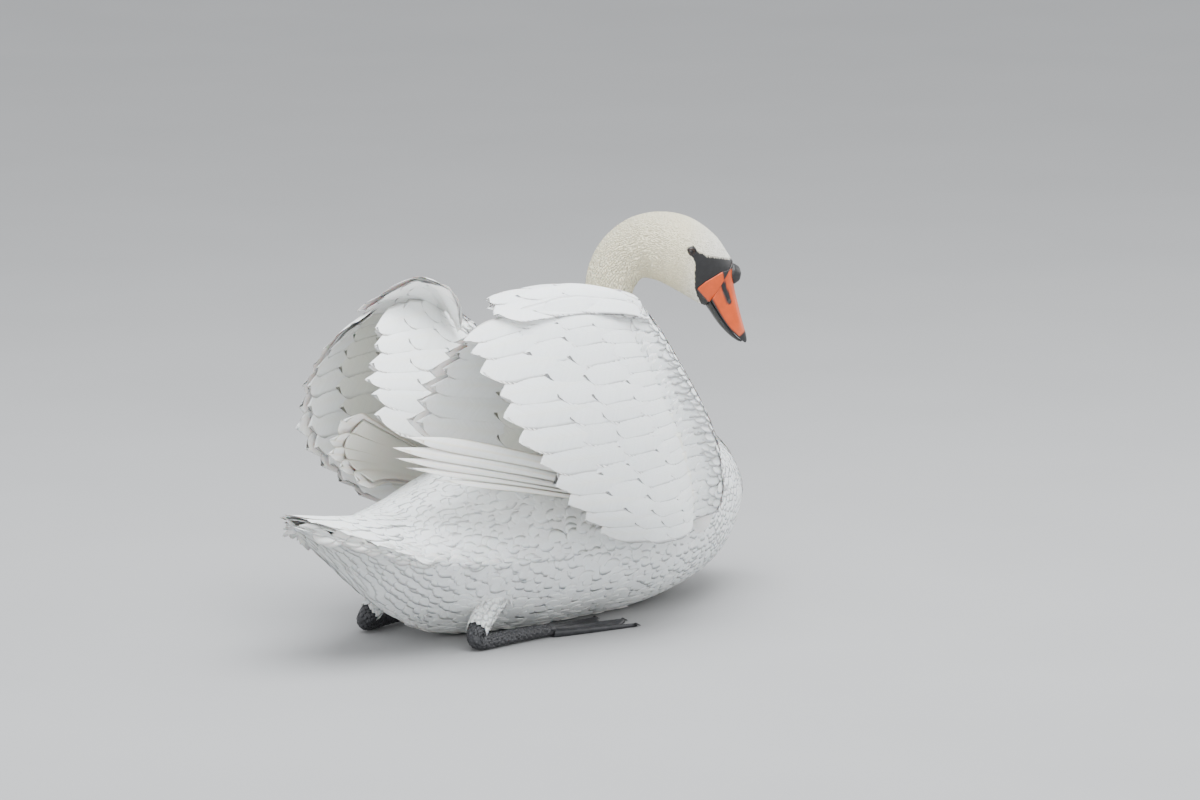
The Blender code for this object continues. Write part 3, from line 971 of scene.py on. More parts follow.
def plume_tree() -> TreeMaker:
    """The tree that lays one closed plume on each root point and bends it to the surface below.

    Each root carries: root, lie, side and up (a frame), size (length, half-width, thickness), pose (height
    at the root, rise to the tip, lean), bend (fall along it, fall across it, sideways sweep) and patch (its
    place on the bake map, and a number of its own).

    Returns:
        The tree, with its inputs.
    """
    t = TreeMaker("lay_plumes")
    t.input("Rows", "NodeSocketInt")
    t.input("Columns", "NodeSocketInt")
    t.input("Waist", "NodeSocketFloat")
    t.input("Bluntness", "NodeSocketFloat")
    t.input("Finish", "NodeSocketMaterial")
    given, out = t.node("NodeGroupInput"), t.node("NodeGroupOutput")
    faces = []
    for side in (1.0, 0.0):
        grid = t.node("GeometryNodeMeshGrid")
        grid.inputs["Size X"].default_value, grid.inputs["Size Y"].default_value = 1.0, 2.0
        t.link(given.outputs["Rows"], grid.inputs["Vertices X"])
        if side:
            t.link(given.outputs["Columns"], grid.inputs["Vertices Y"])
        else:
            grid.inputs["Vertices Y"].default_value = 2
        x, y, _ = t.split(t.node("GeometryNodeInputPosition").outputs[0])
        x = t.math("ADD", x, 0.5)
        along = t.math("MULTIPLY", t.math("POWER", x, given.outputs["Waist"]), math.pi)
        arch = t.math("ABSOLUTE", t.math("SINE", along))
        wide = t.math("POWER", arch, given.outputs["Bluntness"])
        crown = t.math("SUBTRACT", 1.0, t.math("MULTIPLY", y, y))
        height = t.math("MULTIPLY", t.math("MULTIPLY", crown, t.math("POWER", arch, 0.5)), side)
        move = t.node("GeometryNodeSetPosition")
        t.link(grid.outputs["Mesh"], move.inputs["Geometry"])
        t.link(t.combine(x, t.math("MULTIPLY", y, wide), height), move.inputs["Position"])
        made = move.outputs[0]
        if not side:
            flip = t.node("GeometryNodeFlipFaces")
            t.link(made, flip.inputs[0])
            made = flip.outputs[0]
        faces.append(made)
    whole = t.node("GeometryNodeJoinGeometry")
    for face in reversed(faces):
        t.link(face, whole.inputs[0])
    weld = t.node("GeometryNodeMergeByDistance")
    t.link(whole.outputs[0], weld.inputs["Geometry"])
    weld.inputs["Distance"].default_value = 2e-3
    place = t.node("GeometryNodeInstanceOnPoints")
    t.link(given.outputs["Geometry"], place.inputs["Points"])
    t.link(weld.outputs[0], place.inputs["Instance"])
    real = t.node("GeometryNodeRealizeInstances")
    t.link(place.outputs[0], real.inputs["Geometry"])
    root = t.named("root")
    x, y, z = t.split(t.vector("SUBTRACT", t.node("GeometryNodeInputPosition").outputs[0], root))
    long, half, thick = t.split(t.named("size"))
    lift, rise, lean = t.split(t.named("pose"))
    fall, fall_wide, sweep = t.split(t.named("bend"))
    u, v, own = t.split(t.named("patch"))
    square = t.math("MULTIPLY", x, x)
    ahead = t.math("MULTIPLY", x, long)
    beside = t.math("MULTIPLY", y, half)
    drift = t.math("ADD", beside, t.math("MULTIPLY", sweep, square))
    height = t.math("ADD", t.math("ADD", lift, t.math("MULTIPLY", rise, x)), t.math("MULTIPLY", lean, y))
    height = t.math("ADD", height, t.math("MULTIPLY", fall, square))
    height = t.math("ADD", height, t.math("MULTIPLY", fall_wide, t.math("MULTIPLY", y, y)))
    height = t.math("ADD", height, t.math("MULTIPLY", z, thick))
    place_at = t.vector("ADD", root, t.vector("SCALE", t.named("lie"), scale=ahead))
    place_at = t.vector("ADD", place_at, t.vector("SCALE", t.named("side"), scale=drift))
    place_at = t.vector("ADD", place_at, t.vector("SCALE", t.named("up"), scale=height))
    px, py, pz = t.split(place_at)
    vane = t.store(real.outputs[0], "vane", t.combine(ahead, beside, own))
    patch = t.combine(t.math("ADD", u, t.math("MULTIPLY", t.math("SUBTRACT", x, 0.5), BAKE_PATCH)),
                      t.math("ADD", v, t.math("MULTIPLY", y, BAKE_PATCH / 2)), 0.0)
    mapped = t.store(vane, BAKE_MAP, patch, "FLOAT2", "CORNER")
    bend = t.node("GeometryNodeSetPosition")
    t.link(mapped, bend.inputs["Geometry"])
    t.link(t.combine(px, py, t.math("MAXIMUM", pz, PLUME_FLOOR)), bend.inputs["Position"])
    smooth = t.node("GeometryNodeSetShadeSmooth")
    t.link(bend.outputs[0], smooth.inputs["Geometry"])
    dress = t.node("GeometryNodeSetMaterial")
    t.link(smooth.outputs[0], dress.inputs["Geometry"])
    t.link(given.outputs["Finish"], dress.inputs["Material"])
    t.link(dress.outputs[0], out.inputs["Geometry"])
    return t


@dataclass(frozen=True)
class PlumeCut:
    """How fine a plume's mesh is, and its outline: waist over 1 puts its widest place nearer the tip."""

    rows: int = 6
    columns: int = 3
    waist: float = 1.25
    bluntness: float = 0.5


@dataclass
class Plumes:
    """Roots gathered for one coat piece. Each array has one row for each plume."""

    root: Array
    lie: Array
    side: Array
    up: Array
    size: Array
    pose: Array
    bend: Array
    patch: Array
    tint: Array

    def keep(self, chosen: Array) -> "Plumes":
        """The plumes that are chosen."""
        return Plumes(**{name: values[chosen] for name, values in vars(self).items()})


def lay(surface: Surface, s: Array, t: Array, long: Array, half: Array, heading: Array,
        pose: Array, thick: Array, tint: Array, rng: Random) -> Plumes:
    """Works out the frames and bends of plumes on a surface.

    Args:
        surface: What they lie on.
        s: Their roots' places along the lie.
        t: Their roots' places across it.
        long: Lengths.
        half: Half-widths.
        heading: Turns from the surface's own lie, in radians.
        pose: Height at the root, rise and lean, one row a plume.
        thick: Thickness at the middle.
        tint: Colours.
        rng: Seeded random numbers.

    Returns:
        The plumes.
    """
    along, across, up = surface.slopes(s, t)
    root = surface.shape(s, t) + up * surface.lift
    ahead = unit(along - up * dot(along, up)[:, None])
    beside = np.cross(up, ahead)
    lie = ahead * np.cos(heading)[:, None] + beside * np.sin(heading)[:, None]
    side = np.cross(up, lie)
    metric = np.maximum(np.linalg.norm(along, axis=1), 1e-4)
    breadth = np.maximum(np.linalg.norm(across, axis=1), 1e-4)
    sense = np.sign(dot(across, beside))

    def step(forward: Array, sideways: Array) -> Array:
        """The surface's offset from the root after a walk.

        Args:
            forward: How far along the plume.
            sideways: How far across it.

        Returns:
            The offset.
        """
        go = forward * np.cos(heading) - sideways * np.sin(heading)
        drift = forward * np.sin(heading) + sideways * np.cos(heading)
        return surface.shape(s + go / metric, t + sense * drift / breadth) + up * surface.lift - root

    tip = step(long, np.zeros_like(long))
    left, right = step(long * 0.5, half), step(long * 0.5, -half)
    middle = step(long * 0.5, np.zeros_like(long))
    fall = np.clip(dot(tip, up), -0.6 * long, 0.3 * long)
    fall_wide = np.clip((dot(left, up) + dot(right, up)) / 2 - dot(middle, up), -0.7 * half, 0.4 * half)
    sweep = np.clip(dot(tip, side), -0.4 * long, 0.4 * long)
    patch = np.concatenate([surface.chart(s, t), rng.random((len(s), 1))], axis=1)
    size, bend = np.stack([long, half, thick], 1), np.stack([fall, fall_wide, sweep], 1)
    return Plumes(root, lie, side, up, size, pose, bend, patch, tint)


def grow(name: str, tree: TreeMaker, plumes: Plumes, cut: PlumeCut, finish: Material) -> Piece:
    """Grows plumes into one plain mesh.

    Args:
        name: Its name.
        tree: The tree that lays plumes.
        plumes: Where they stand.
        cut: Their outline.
        finish: Their finish.

    Returns:
        The piece, at the origin, with no modifier left.
    """
    seeds = bpy.data.meshes.new(name + "_roots")
    seeds.vertices.add(len(plumes.root))
    seeds.vertices.foreach_set("co", plumes.root.astype(np.float32).ravel())
    for key in ROOT_VALUES:
        store_vectors(seeds, key, getattr(plumes, key))
    paint(seeds, "tint", plumes.tint)
    carrier = new_object(name + "_roots", seeds)
    modifier = carrier.modifiers.new("plumes", "NODES")
    modifier.node_group = tree.tree
    for key, value in (("Rows", cut.rows), ("Columns", cut.columns), ("Waist", cut.waist),
                       ("Bluntness", cut.bluntness), ("Finish", finish)):
        modifier[tree.inputs[key]] = value
    carrier.update_tag()
    graph = bpy.context.evaluated_depsgraph_get()
    mesh = bpy.data.meshes.new_from_object(carrier.evaluated_get(graph))
    carrier.modifiers.clear()
    bpy.data.objects.remove(carrier)
    for key in ROOT_VALUES:
        if key in mesh.attributes:
            mesh.attributes.remove(mesh.attributes[key])
    return new_object(name, mesh)


# --- finishes ---
class Grain(Enum):
    """Where a finish takes its pattern from."""

    VANE = "vane"
    BODY = "body"


def shader(name: str, roughness: float, **constants: float) -> tuple[Material, bpy.types.Node]:
    """A new material and its Principled shader, with constants set on the shader's own sockets.

    Args:
        name: The material's name.
        roughness: Roughness.
        constants: Other sockets, with _ for a space.

    Returns:
        The material and its shader.
    """
    material = bpy.data.materials.new(name)
    material.use_nodes = True
    principled = material.node_tree.nodes["Principled BSDF"]
    principled.inputs["Roughness"].default_value = roughness
    for key, value in constants.items():
        principled.inputs[key.replace("_", " ")].default_value = value
    return material, principled


class Brush(NodeMaker):
    """Shorthand for a material's nodes."""

    def __init__(self, material: Material) -> None:
        """Takes the material."""
        super().__init__(material.node_tree)

    def attribute(self, name: str) -> bpy.types.Node:
        """A node that reads a stored value."""
        return self.node("ShaderNodeAttribute", attribute_name=name)

    def noise(self, vector: Socket, scale: float, detail: float = 2.0) -> Socket:
        """A cloudy pattern over a vector.

        Args:
            vector: Where it is read.
            scale: How fine it is.
            detail: Its octaves.

        Returns:
            The pattern.
        """
        made = self.node("ShaderNodeTexNoise")
        made.inputs["Scale"].default_value, made.inputs["Detail"].default_value = scale, detail
        self.link(vector, made.inputs["Vector"])
        return made.outputs["Fac"]

    def ramp(self, value: Socket, low: float, high: float, start: float,
             end: float) -> Socket:
        """A value moved from one range to another, with its ends held.

        Args:
            value: The value.
            low: Start of its range.
            high: End of its range.
            start: Start of the new range.
            end: End of the new range.

        Returns:
            The new value.
        """
        made = self.node("ShaderNodeMapRange")
        self.link(value, made.inputs["Value"])
        for key, number in (("From Min", low), ("From Max", high), ("To Min", start), ("To Max", end)):
            made.inputs[key].default_value = number
        return made.outputs["Result"]

    def scaled(self, colour: Socket, factor: Socket) -> Socket:
        """A colour times a number.

        Args:
            colour: The colour.
            factor: The number.

        Returns:
            The result.
        """
        made = self.node("ShaderNodeVectorMath", operation="SCALE")
        self.link(colour, made.inputs[0])
        self.link(factor, made.inputs["Scale"])
        return made.outputs[0]

    def bump(self, shader_node: bpy.types.Node, height: Socket, depth: float, strength: float) -> None:
        """Relief on a shader.

        Args:
            shader_node: The shader.
            height: The relief.
            depth: Its depth in metres.
            strength: Its strength.
        """
        made = self.node("ShaderNodeBump")
        made.inputs["Strength"].default_value, made.inputs["Distance"].default_value = strength, depth
        self.link(height, made.inputs["Height"])
        self.link(made.outputs[0], shader_node.inputs["Normal"])


@dataclass(frozen=True)
class Plumage:
    """White feather: barbs slope back from a pale shaft, with faint clumps where they part."""

    name: str = "plumage_white"
    barb: float = 1.3 * MM
    shaft: float = 0.45 * MM
    relief: float = 0.25 * MM
    strength: float = 0.5
    grain: Grain = Grain.VANE

    def make(self) -> Material:
        """The material. Its colour comes from the tint stored on each piece.

        Returns:
            The material.
        """
        material, principled = shader(self.name, 0.78, Sheen_Weight=0.15, Sheen_Roughness=0.6,
                                      Subsurface_Weight=0.12, Subsurface_Scale=0.004)
        brush = Brush(material)
        tint = brush.attribute("tint").outputs["Color"]
        if self.grain is Grain.BODY:
            place = brush.node("ShaderNodeTexCoord").outputs["Object"]
            height = brush.noise(place, 420.0, 4.0)
            shade = brush.ramp(brush.noise(place, 60.0), 0.3, 0.7, 0.94, 1.02)
        else:
            split = brush.node("ShaderNodeSeparateXYZ")
            brush.link(brush.attribute("vane").outputs["Vector"], split.inputs[0])
            x, y, own = split.outputs
            off = brush.math("ABSOLUTE", y)
            slope = brush.math("SUBTRACT", x, brush.math("MULTIPLY", off, 1.1))
            clump = brush.node("ShaderNodeCombineXYZ")
            for term, socket in zip((brush.math("MULTIPLY", slope, 260.0), brush.math("MULTIPLY", off, 30.0),
                                     brush.math("MULTIPLY", own, 91.0)), clump.inputs):
                brush.link(term, socket)
            streak = brush.noise(clump.outputs[0], 1.0, 3.0)
            barbs = brush.math("SINE", brush.math("MULTIPLY", slope, 2 * math.pi / self.barb))
            shaft = brush.ramp(off, 0.0, self.shaft, 1.0, 0.0)
            height = brush.math("ADD", brush.math("MULTIPLY", barbs, 0.18),
                                brush.math("MULTIPLY", streak, 1.6))
            height = brush.math("ADD", height, brush.math("MULTIPLY", shaft, 0.8))
            shade = brush.math("MULTIPLY", brush.ramp(streak, 0.25, 0.75, 0.955, 1.03),
                               brush.ramp(own, 0.0, 1.0, 0.975, 1.015))
        brush.link(brush.scaled(tint, shade), principled.inputs["Base Color"])
        brush.bump(principled, height, self.relief, self.strength)
        return material


@dataclass(frozen=True)
class Tinted:
    """A hard or bare surface whose colour is stored on the piece, with fine grain and mottling."""

    name: str
    roughness: float
    grain: float
    relief: float
    mottle: float = 0.12
    coat: float = 0.0
    sheen: float = 0.0

    def make(self) -> Material:
        """The material.

        Returns:
            The material.
        """
        material, principled = shader(self.name, self.roughness, Coat_Weight=self.coat, Coat_Roughness=0.25,
                                      Sheen_Weight=self.sheen)
        brush = Brush(material)
        place = brush.node("ShaderNodeTexCoord").outputs["Object"]
        fine, broad = brush.noise(place, self.grain, 4.0), brush.noise(place, self.grain / 9)
        shade = brush.ramp(broad, 0.3, 0.7, 1 - self.mottle, 1 + self.mottle / 2)
        tint = brush.attribute("tint").outputs["Color"]
        brush.link(brush.scaled(tint, shade), principled.inputs["Base Color"])
        brush.link(brush.ramp(fine, 0.3, 0.7, self.roughness * 0.8, self.roughness * 1.25),
                        principled.inputs["Roughness"])
        brush.bump(principled, fine, self.relief, 0.5)
        return material


@dataclass(frozen=True)
class Floor:
    """The pale studio floor."""

    colour: Colour = (0.34, 0.345, 0.35)

    def make(self) -> Material:
        """The material, with a faint mottle.

        Returns:
            The material.
        """
        material, principled = shader("studio_floor", 0.8)
        brush = Brush(material)
        place = brush.node("ShaderNodeTexCoord").outputs["Object"]
        base = brush.node("ShaderNodeRGB")
        base.outputs[0].default_value = (*self.colour, 1)
        shade = brush.ramp(brush.noise(place, 3.0), 0.3, 0.7, 0.98, 1.02)
        brush.link(brush.scaled(base.outputs[0], shade), principled.inputs["Base Color"])
        return material


# --- skin ---
def coat_depth(s: Array) -> Array:
    """How deep the skin lies inside the solids: thin on the face, deeper down neck and trunk."""
    return (0.7 + 1.6 * smooth_step(s, 4.0, 12.0)) * MM


@dataclass
class Skin:
    """One skin over trunk, neck, head and wing arms, inside the solids by the coat's depth."""

    rings_a_station: int = 9
    ring_points: int = 128
    arm_depth: float = 3.0 * MM

    def build(self, finish: Material, bare: Material) -> Piece:
        """Makes the skin, paints the coat's markings on it and gives the mask its bare finish.

        Args:
            finish: Finish under the plumes.
            bare: Finish of the bare face.

        Returns:
            The skin.
        """
        body = BodyLoft()
        last = len(STATIONS) - 1
        fine = np.linspace(0.0, 4.0, 97)
        step = 1 / self.rings_a_station
        s = np.concatenate([fine, np.arange(4.0 + step, last, step), [last]])
        t = ring(self.ring_points)
        grid_s, grid_t = grid_of(s, t)
        rings = body.at(grid_s, grid_t, -coat_depth(grid_s))
        rings[..., 2] = np.maximum(rings[..., 2], SKIN_FLOOR)
        parts = [new_object("skin_body", loft_mesh(rings))]
        for side in ("right", "left"):
            arm = WingFace(WINGS[side], side)
            z = np.linspace(arm.arm[0, 0], arm.arm[-1, 0], 40)
            angle = ring(40)
            grid_z, grid_a = grid_of(z, angle)
            shape = arm.round_arm(grid_z, grid_a)
            middle = shape.mean(axis=1, keepdims=True)
            shape = shape - unit(shape - middle) * self.arm_depth
            parts.append(new_object("skin_arm", loft_mesh(shape * np.array([1, arm.mirror, 1]))))
        skin = parts[0]
        for arm_piece in parts[1:]:
            union = skin.modifiers.new("union", "BOOLEAN")
            union.operation, union.object, union.solver = "UNION", arm_piece, "EXACT"
        graph = bpy.context.evaluated_depsgraph_get()
        mesh = bpy.data.meshes.new_from_object(skin.evaluated_get(graph))
        for part in parts:
            bpy.data.objects.remove(part)
        shade_smooth(mesh)
        made = new_object("swan_skin", mesh)
        self.mark(mesh)
        mesh.materials.clear()
        mesh.materials.append(finish)
        mesh.materials.append(bare)
        colours = np.empty(len(mesh.vertices) * 4, np.float32)
        mesh.attributes["tint"].data.foreach_get("color", colours)
        dark = colours.reshape(-1, 4)[:, 0] < 0.1
        which = [int(all(dark[v] for v in face.vertices)) for face in mesh.polygons]
        mesh.polygons.foreach_set("material_index", np.array(which, np.int32))
        return made

    def mark(self, mesh: Mesh) -> None:
        """Paints the skin: white, cream on neck and head, black between eye and bill.

        Args:
            mesh: The skin.
        """
        points = points_of(mesh)
        place = head_place(points)
        on_neck = (place[:, 2] > 255) & (points[:, 0] > 60 * MM) & (np.abs(place[:, 1]) < 45)
        s = np.where(on_neck, 6.0, 14.0)
        face = on_neck & (place[:, 0] > 120)
        s = np.where(face, np.interp(place[:, 0], [120, 214, 262], [5.0, 2.0, 0.0]), s)
        tint = body_tint(points, s)
        bare = face & inside(MASK_OUTLINE, place[:, [0, 2]])
        front = face & (place[:, 0] > 232) & (place[:, 2] < 386) & (np.abs(place[:, 1]) < 30)
        tint[bare | (front & inside(MASK_OUTLINE, place[:, [0, 2]]))] = BLACK_SKIN
        paint(mesh, "tint", tint)


# --- coat of trunk, neck and head ---
@dataclass(frozen=True)
class CoatZone:
    """A stretch of the coat: stations from the bill, plume length at both ends, how close the roots are."""

    name: str
    slot: str
    start: float
    end: float
    long: Span
    cut: PlumeCut
    slim: float = 0.34
    row_gap: float = 0.36
    plume_gap: float = 1.15
    rise: float = 0.045


def scatter(surface: Surface, start: float, end: float, zone_long: Callable[[float], float], row_gap: float,
            plume_gap: float, slim: float, rng: Random) -> tuple[Array, Array]:
    """Root places in staggered rows across a surface, thinned where rows crowd together.

    Args:
        surface: The surface.
        start: The first row.
        end: The last row.
        zone_long: A function of s that gives the plumes' length.
        row_gap: Distance between rows, as a share of the length.
        plume_gap: Distance between plumes in a row, as a share of the width.
        slim: Half-width as a share of the length.
        rng: Seeded random numbers.

    Returns:
        Places along and across.
    """
    low, high = surface.t_span
    found_s, found_t, s, odd = [], [], start, 0
    probe = np.linspace(low, high, PROBES)
    while s < end:
        row = np.full_like(probe, s)
        along, _, _ = surface.slopes(row, probe)
        speed = np.linalg.norm(along, axis=1)
        line = surface.shape(row, probe)
        run = np.concatenate([[0.0], np.cumsum(np.linalg.norm(np.diff(line, axis=0), axis=1))])
        long = float(zone_long(s))
        count = max(2, int(run[-1] / (2 * slim * long * plume_gap / 1.6)))
        at = (np.arange(count) + 0.5 * odd + rng.uniform(-0.18, 0.18, count)) / count * run[-1]
        t = np.interp(at, run, probe)
        step = long * row_gap / max(np.percentile(speed, 92), 1e-5)
        local = np.interp(t, probe, speed) * step / (long * row_gap)
        chosen = rng.random(count) < np.clip(local * 1.25, 0.0, 1.0)
        found_t.append(t[chosen])
        found_s.append(s + rng.uniform(-0.3, 0.3, chosen.sum()) * step)
        s += step
        odd = 1 - odd
    return np.concatenate(found_s), np.concatenate(found_t)


ZONES = (
    CoatZone("plumes_head", "plumage_cream", 0.05, 4.1, (2.6 * MM, 5.4 * MM), PlumeCut(4, 3, 1.2, 0.5),
             rise=0.024, row_gap=0.42),
    CoatZone("plumes_neck_upper", "plumage_cream", 3.9, 7.6, (5.4 * MM, 8.0 * MM), PlumeCut(4, 3, 1.2, 0.45),
             slim=0.30, rise=0.026, row_gap=0.40),
    CoatZone("plumes_neck_lower", "plumage_white", 7.4, 11.6, (8.0 * MM, 15.0 * MM),
             PlumeCut(5, 3, 1.2, 0.45), slim=0.32, rise=0.020, row_gap=0.38),
    CoatZone("plumes_breast", "plumage_white", 11.3, 16.6, (15.0 * MM, 25.0 * MM), PlumeCut(6, 5, 1.2, 0.5),
             slim=0.38, rise=0.010, row_gap=0.34),
    CoatZone("plumes_flanks", "plumage_white", 16.3, 20.3, (25.0 * MM, 27.0 * MM), PlumeCut(6, 5, 1.2, 0.5),
             slim=0.38, rise=0.009, row_gap=0.32),
    CoatZone("plumes_rump", "plumage_white", 20.0, 23.75, (27.0 * MM, 30.0 * MM), PlumeCut(7, 5, 1.2, 0.5),
             slim=0.36, rise=0.009, row_gap=0.30),
)


@dataclass
class Coat:
    """The plumes of trunk, neck and head, in zones that grow longer towards the tail."""

    tree: TreeMaker
    finish: Material
    seed: int = 11

    def build(self, zone: CoatZone) -> Piece:
        """Grows one zone.

        Args:
            zone: The zone.

        Returns:
            Its piece.
        """
        rng = np.random.default_rng(self.seed + int(zone.start * 10))
        surface = BodyLoft((zone.start - 0.4, zone.end + 0.6), lift=0.0)

        def long_at(s: float) -> float:
            """The plumes' length at a station."""
            share = (s - zone.start) / (zone.end - zone.start)
            return zone.long[0] + (zone.long[1] - zone.long[0]) * min(max(share, 0.0), 1.0)

        s, t = scatter(surface, zone.start, zone.end, long_at, zone.row_gap, zone.plume_gap, zone.slim, rng)
        place = head_place(surface.shape(s, t))
        near_face = s < 4.0
        beside_brow = (place[:, 2] < 386) | (np.abs(place[:, 1]) > 9)
        keep = ~(near_face & inside(MASK_OUTLINE, place[:, [0, 2]]) & beside_brow)
        s, t, place = s[keep], t[keep], place[keep]
        count = len(s)
        long = np.interp(s, [zone.start, zone.end], zone.long) * rng.uniform(0.88, 1.12, count)
        points = surface.shape(s, t)
        tint = body_tint(points, s) * rng.uniform(0.975, 1.0, (count, 1))
        rise = long * zone.rise
        height = 0.05 * MM - coat_depth(s) + rng.uniform(0, 0.004, count) * long
        pose = np.stack([height, rise, rng.normal(0, 0.006, count) * long], 1)
        plumes = lay(surface, s, t, long, long * zone.slim * rng.uniform(0.9, 1.1, count),
                     rng.normal(0, 0.07, count), pose, long * 0.007, tint, rng)
        return grow(zone.name, self.tree, plumes, zone.cut, self.finish)


# --- long feathers ---
@dataclass(frozen=True)
class VaneRow:
    """A row of long feathers on a sheet: how many, where they start and end along it, and how they stack."""

    count: int
    start: float
    end: float
    overlap: float = 1.5
    lift: float = 0.6 * MM
    rise: float = 1.0 * MM
    lean: float = 0.30 * MM
    thick: float = 0.30 * MM
    camber: float = 0.5 * MM
    dive: float = 2.0 * MM
    taper: float = 0.35
    tip: float = 0.16
    t_span: Span = (0.0, 1.0)
    uneven: float = 0.02
    rows: int = 18
    columns: int = 7


def vane_width(x: Array, taper: float, tip: float) -> Array:
    """Half-width of a long feather from root to tip, as a share of the widest, with a round tip.

    Args:
        x: Places from root to tip, 0 to 1.
        taper: How much narrower the root is.
        tip: Share of the length that rounds off.

    Returns:
        The shares.
    """
    body = 1 - taper * (1 - x) ** 1.4
    end = np.sqrt(np.clip(1 - ((x - (1 - tip)) / tip).clip(0, None) ** 2, 0, 1))
    return body * end


def vanes(name: str, surface: Surface, row: VaneRow, tint: Colour, edge: Colour,
          finish: Material, rng: Random) -> Piece:
    """A row of long feathers that follow a surface.

    Args:
        name: Its name.
        surface: What they lie on.
        row: How they stand.
        tint: Their colour.
        edge: The colour along their shafts and edges: the shafts' own pale tone, and painted shade along the
            rims where feathers overlap.
        finish: Their finish.
        rng: Seeded random numbers.

    Returns:
        The row as one object.
    """
    x = 1 - (1 - np.linspace(0, 1, row.rows)) ** 1.35
    y = np.linspace(-1, 1, row.columns)
    grid_x, grid_y = grid_of(x, y)
    points, faces, vane, colour, patch, base = [], [], [], [], [], 0
    low, high = row.t_span
    pitch = (high - low) / row.count
    for k in range(row.count):
        centre = low + pitch * (k + 0.5)
        end = row.end + rng.uniform(-row.uneven, row.uneven)
        bow = rng.uniform(-0.05, 0.05) * pitch
        wide = vane_width(grid_x, row.taper, row.tip)
        notch = 1 - 0.05 * np.abs(np.sin(grid_x * rng.uniform(9, 15) + rng.uniform(0, 6))) * (grid_x > 0.4)
        s = row.start + (end - row.start) * (grid_x - 0.05 * grid_y**2 * grid_x)
        t = centre + bow * grid_x + grid_y * wide * notch * pitch * row.overlap / 2
        own = rng.random()
        crown = 1 - grid_y**2
        height = (row.lift + row.rise * grid_x - row.lean * grid_y * min(1.0, row.overlap - 0.4)
                  + row.camber * crown * np.minimum(1, 4 * (1 - grid_x)) - row.dive * (1 - grid_x) ** 7)
        t_safe = np.clip(t, -0.06, 1.06)
        rim = np.abs(grid_y) > 0.999
        shaft = np.exp(-(grid_y / 0.09) ** 2) * 0.35 * MM * (1 - 0.7 * grid_x)
        under = surface.at(s, np.clip(t_safe, 0, 1), height)
        slide = (t_safe - np.clip(t_safe, 0, 1))[..., None] * surface.slopes(s, np.clip(t_safe, 0, 1))[1]
        normal = surface.slopes(s, np.clip(t_safe, 0, 1))[2]
        under = under + slide
        body = row.thick * crown * np.minimum(1, 6 * (1 - grid_x)) + shaft
        over = under + normal * np.where(rim, 0.0, body)[..., None]
        length = np.linalg.norm(surface.shape(np.array([end]), np.array([centre]))
                                - surface.shape(np.array([row.start]), np.array([centre])))
        breadth = np.linalg.norm(surface.slopes(np.array([(row.start + end) / 2]), np.array([centre]))[1])
        for sheet_points, flip in ((over, False), (under, True)):
            points.append(sheet_points.reshape(-1, 3))
            faces.append(grid_faces(row.rows, row.columns, flip=flip) + base)
            base += row.rows * row.columns
            vane.append(np.stack([grid_x * length, grid_y * wide * pitch * row.overlap / 2 * breadth,
                                  np.full_like(grid_x, own)], -1).reshape(-1, 3))
            # Shafts and rims take the edge colour: the shaft's own tone, and painted shade along the
            # overlapping rims.
            toward = np.clip(np.abs(grid_y) ** 6 + np.exp(-(grid_y / 0.10) ** 2) * 0.6, 0, 1)
            toned = mix(tiled(tint, grid_x.size), edge, toward.ravel() * 0.6)
            colour.append(toned * (0.985 + 0.03 * own))
            root = surface.chart(np.array([row.start]), np.array([centre]))[0]
            patch.append(root + np.stack([grid_x - 0.5, grid_y / 2], -1).reshape(-1, 2) * BAKE_PATCH)
    mesh = mesh_from(np.concatenate(points), np.concatenate(faces), name)
    store_vectors(mesh, "vane", np.concatenate(vane))
    paint(mesh, "tint", np.concatenate(colour))
    store_patches(mesh, np.concatenate(patch))
    clean(mesh, 2e-6)
    shade_smooth(mesh)
    mesh.materials.append(finish)
    return new_object(name, mesh)


def core(name: str, surface: Surface, start: float, end: float, thick: float, tint: Colour,
         finish: Material, rows: int = 26, columns: int = 30,
         t_span: Span = (0.02, 0.98)) -> Piece:
    """A thin closed web under a wing's feathers, from share start to share end of a surface.

    Args:
        name: Its name.
        surface: The surface.
        start: Its front.
        end: Its rear.
        thick: Its thickness.
        tint: Its colour.
        finish: Its finish.
        rows: Points along it.
        columns: Points across it.
        t_span: The stretch across.

    Returns:
        The web.
    """
    s, t = grid_of(np.linspace(start, end, rows), np.linspace(*t_span, columns))
    fade = thick * np.sqrt(np.clip(1 - ((s - start) / (end - start)), 0.03, 1))
    over, under = surface.at(s, t, 0.0), surface.at(s, t, -fade)
    for edge in RIM:
        under[edge] = over[edge]
    points = np.concatenate([over.reshape(-1, 3), under.reshape(-1, 3)])
    back = grid_faces(rows, columns, flip=True) + rows * columns
    faces = np.concatenate([grid_faces(rows, columns), back])
    mesh = mesh_from(points, faces, name)
    store_vectors(mesh, "vane", np.zeros_like(points))
    paint(mesh, "tint", tiled(tint, len(points)))
    store_patches(mesh, np.concatenate([surface.chart(s, t).reshape(-1, 2)] * 2))
    clean(mesh, 1e-6)
    shade_smooth(mesh)
    mesh.materials.append(finish)
    return new_object(name, mesh)


@dataclass(frozen=True)
class PlumeBand:
    """A band of small plumes on one face of a wing sheet."""

    start: float
    end: float
    long: Span
    cut: PlumeCut = PlumeCut(7, 5, 1.2, 0.5)
    slim: float = 0.36
    rise: float = 0.020
    lift: float = 0.25 * MM
    tint: Colour = WHITE


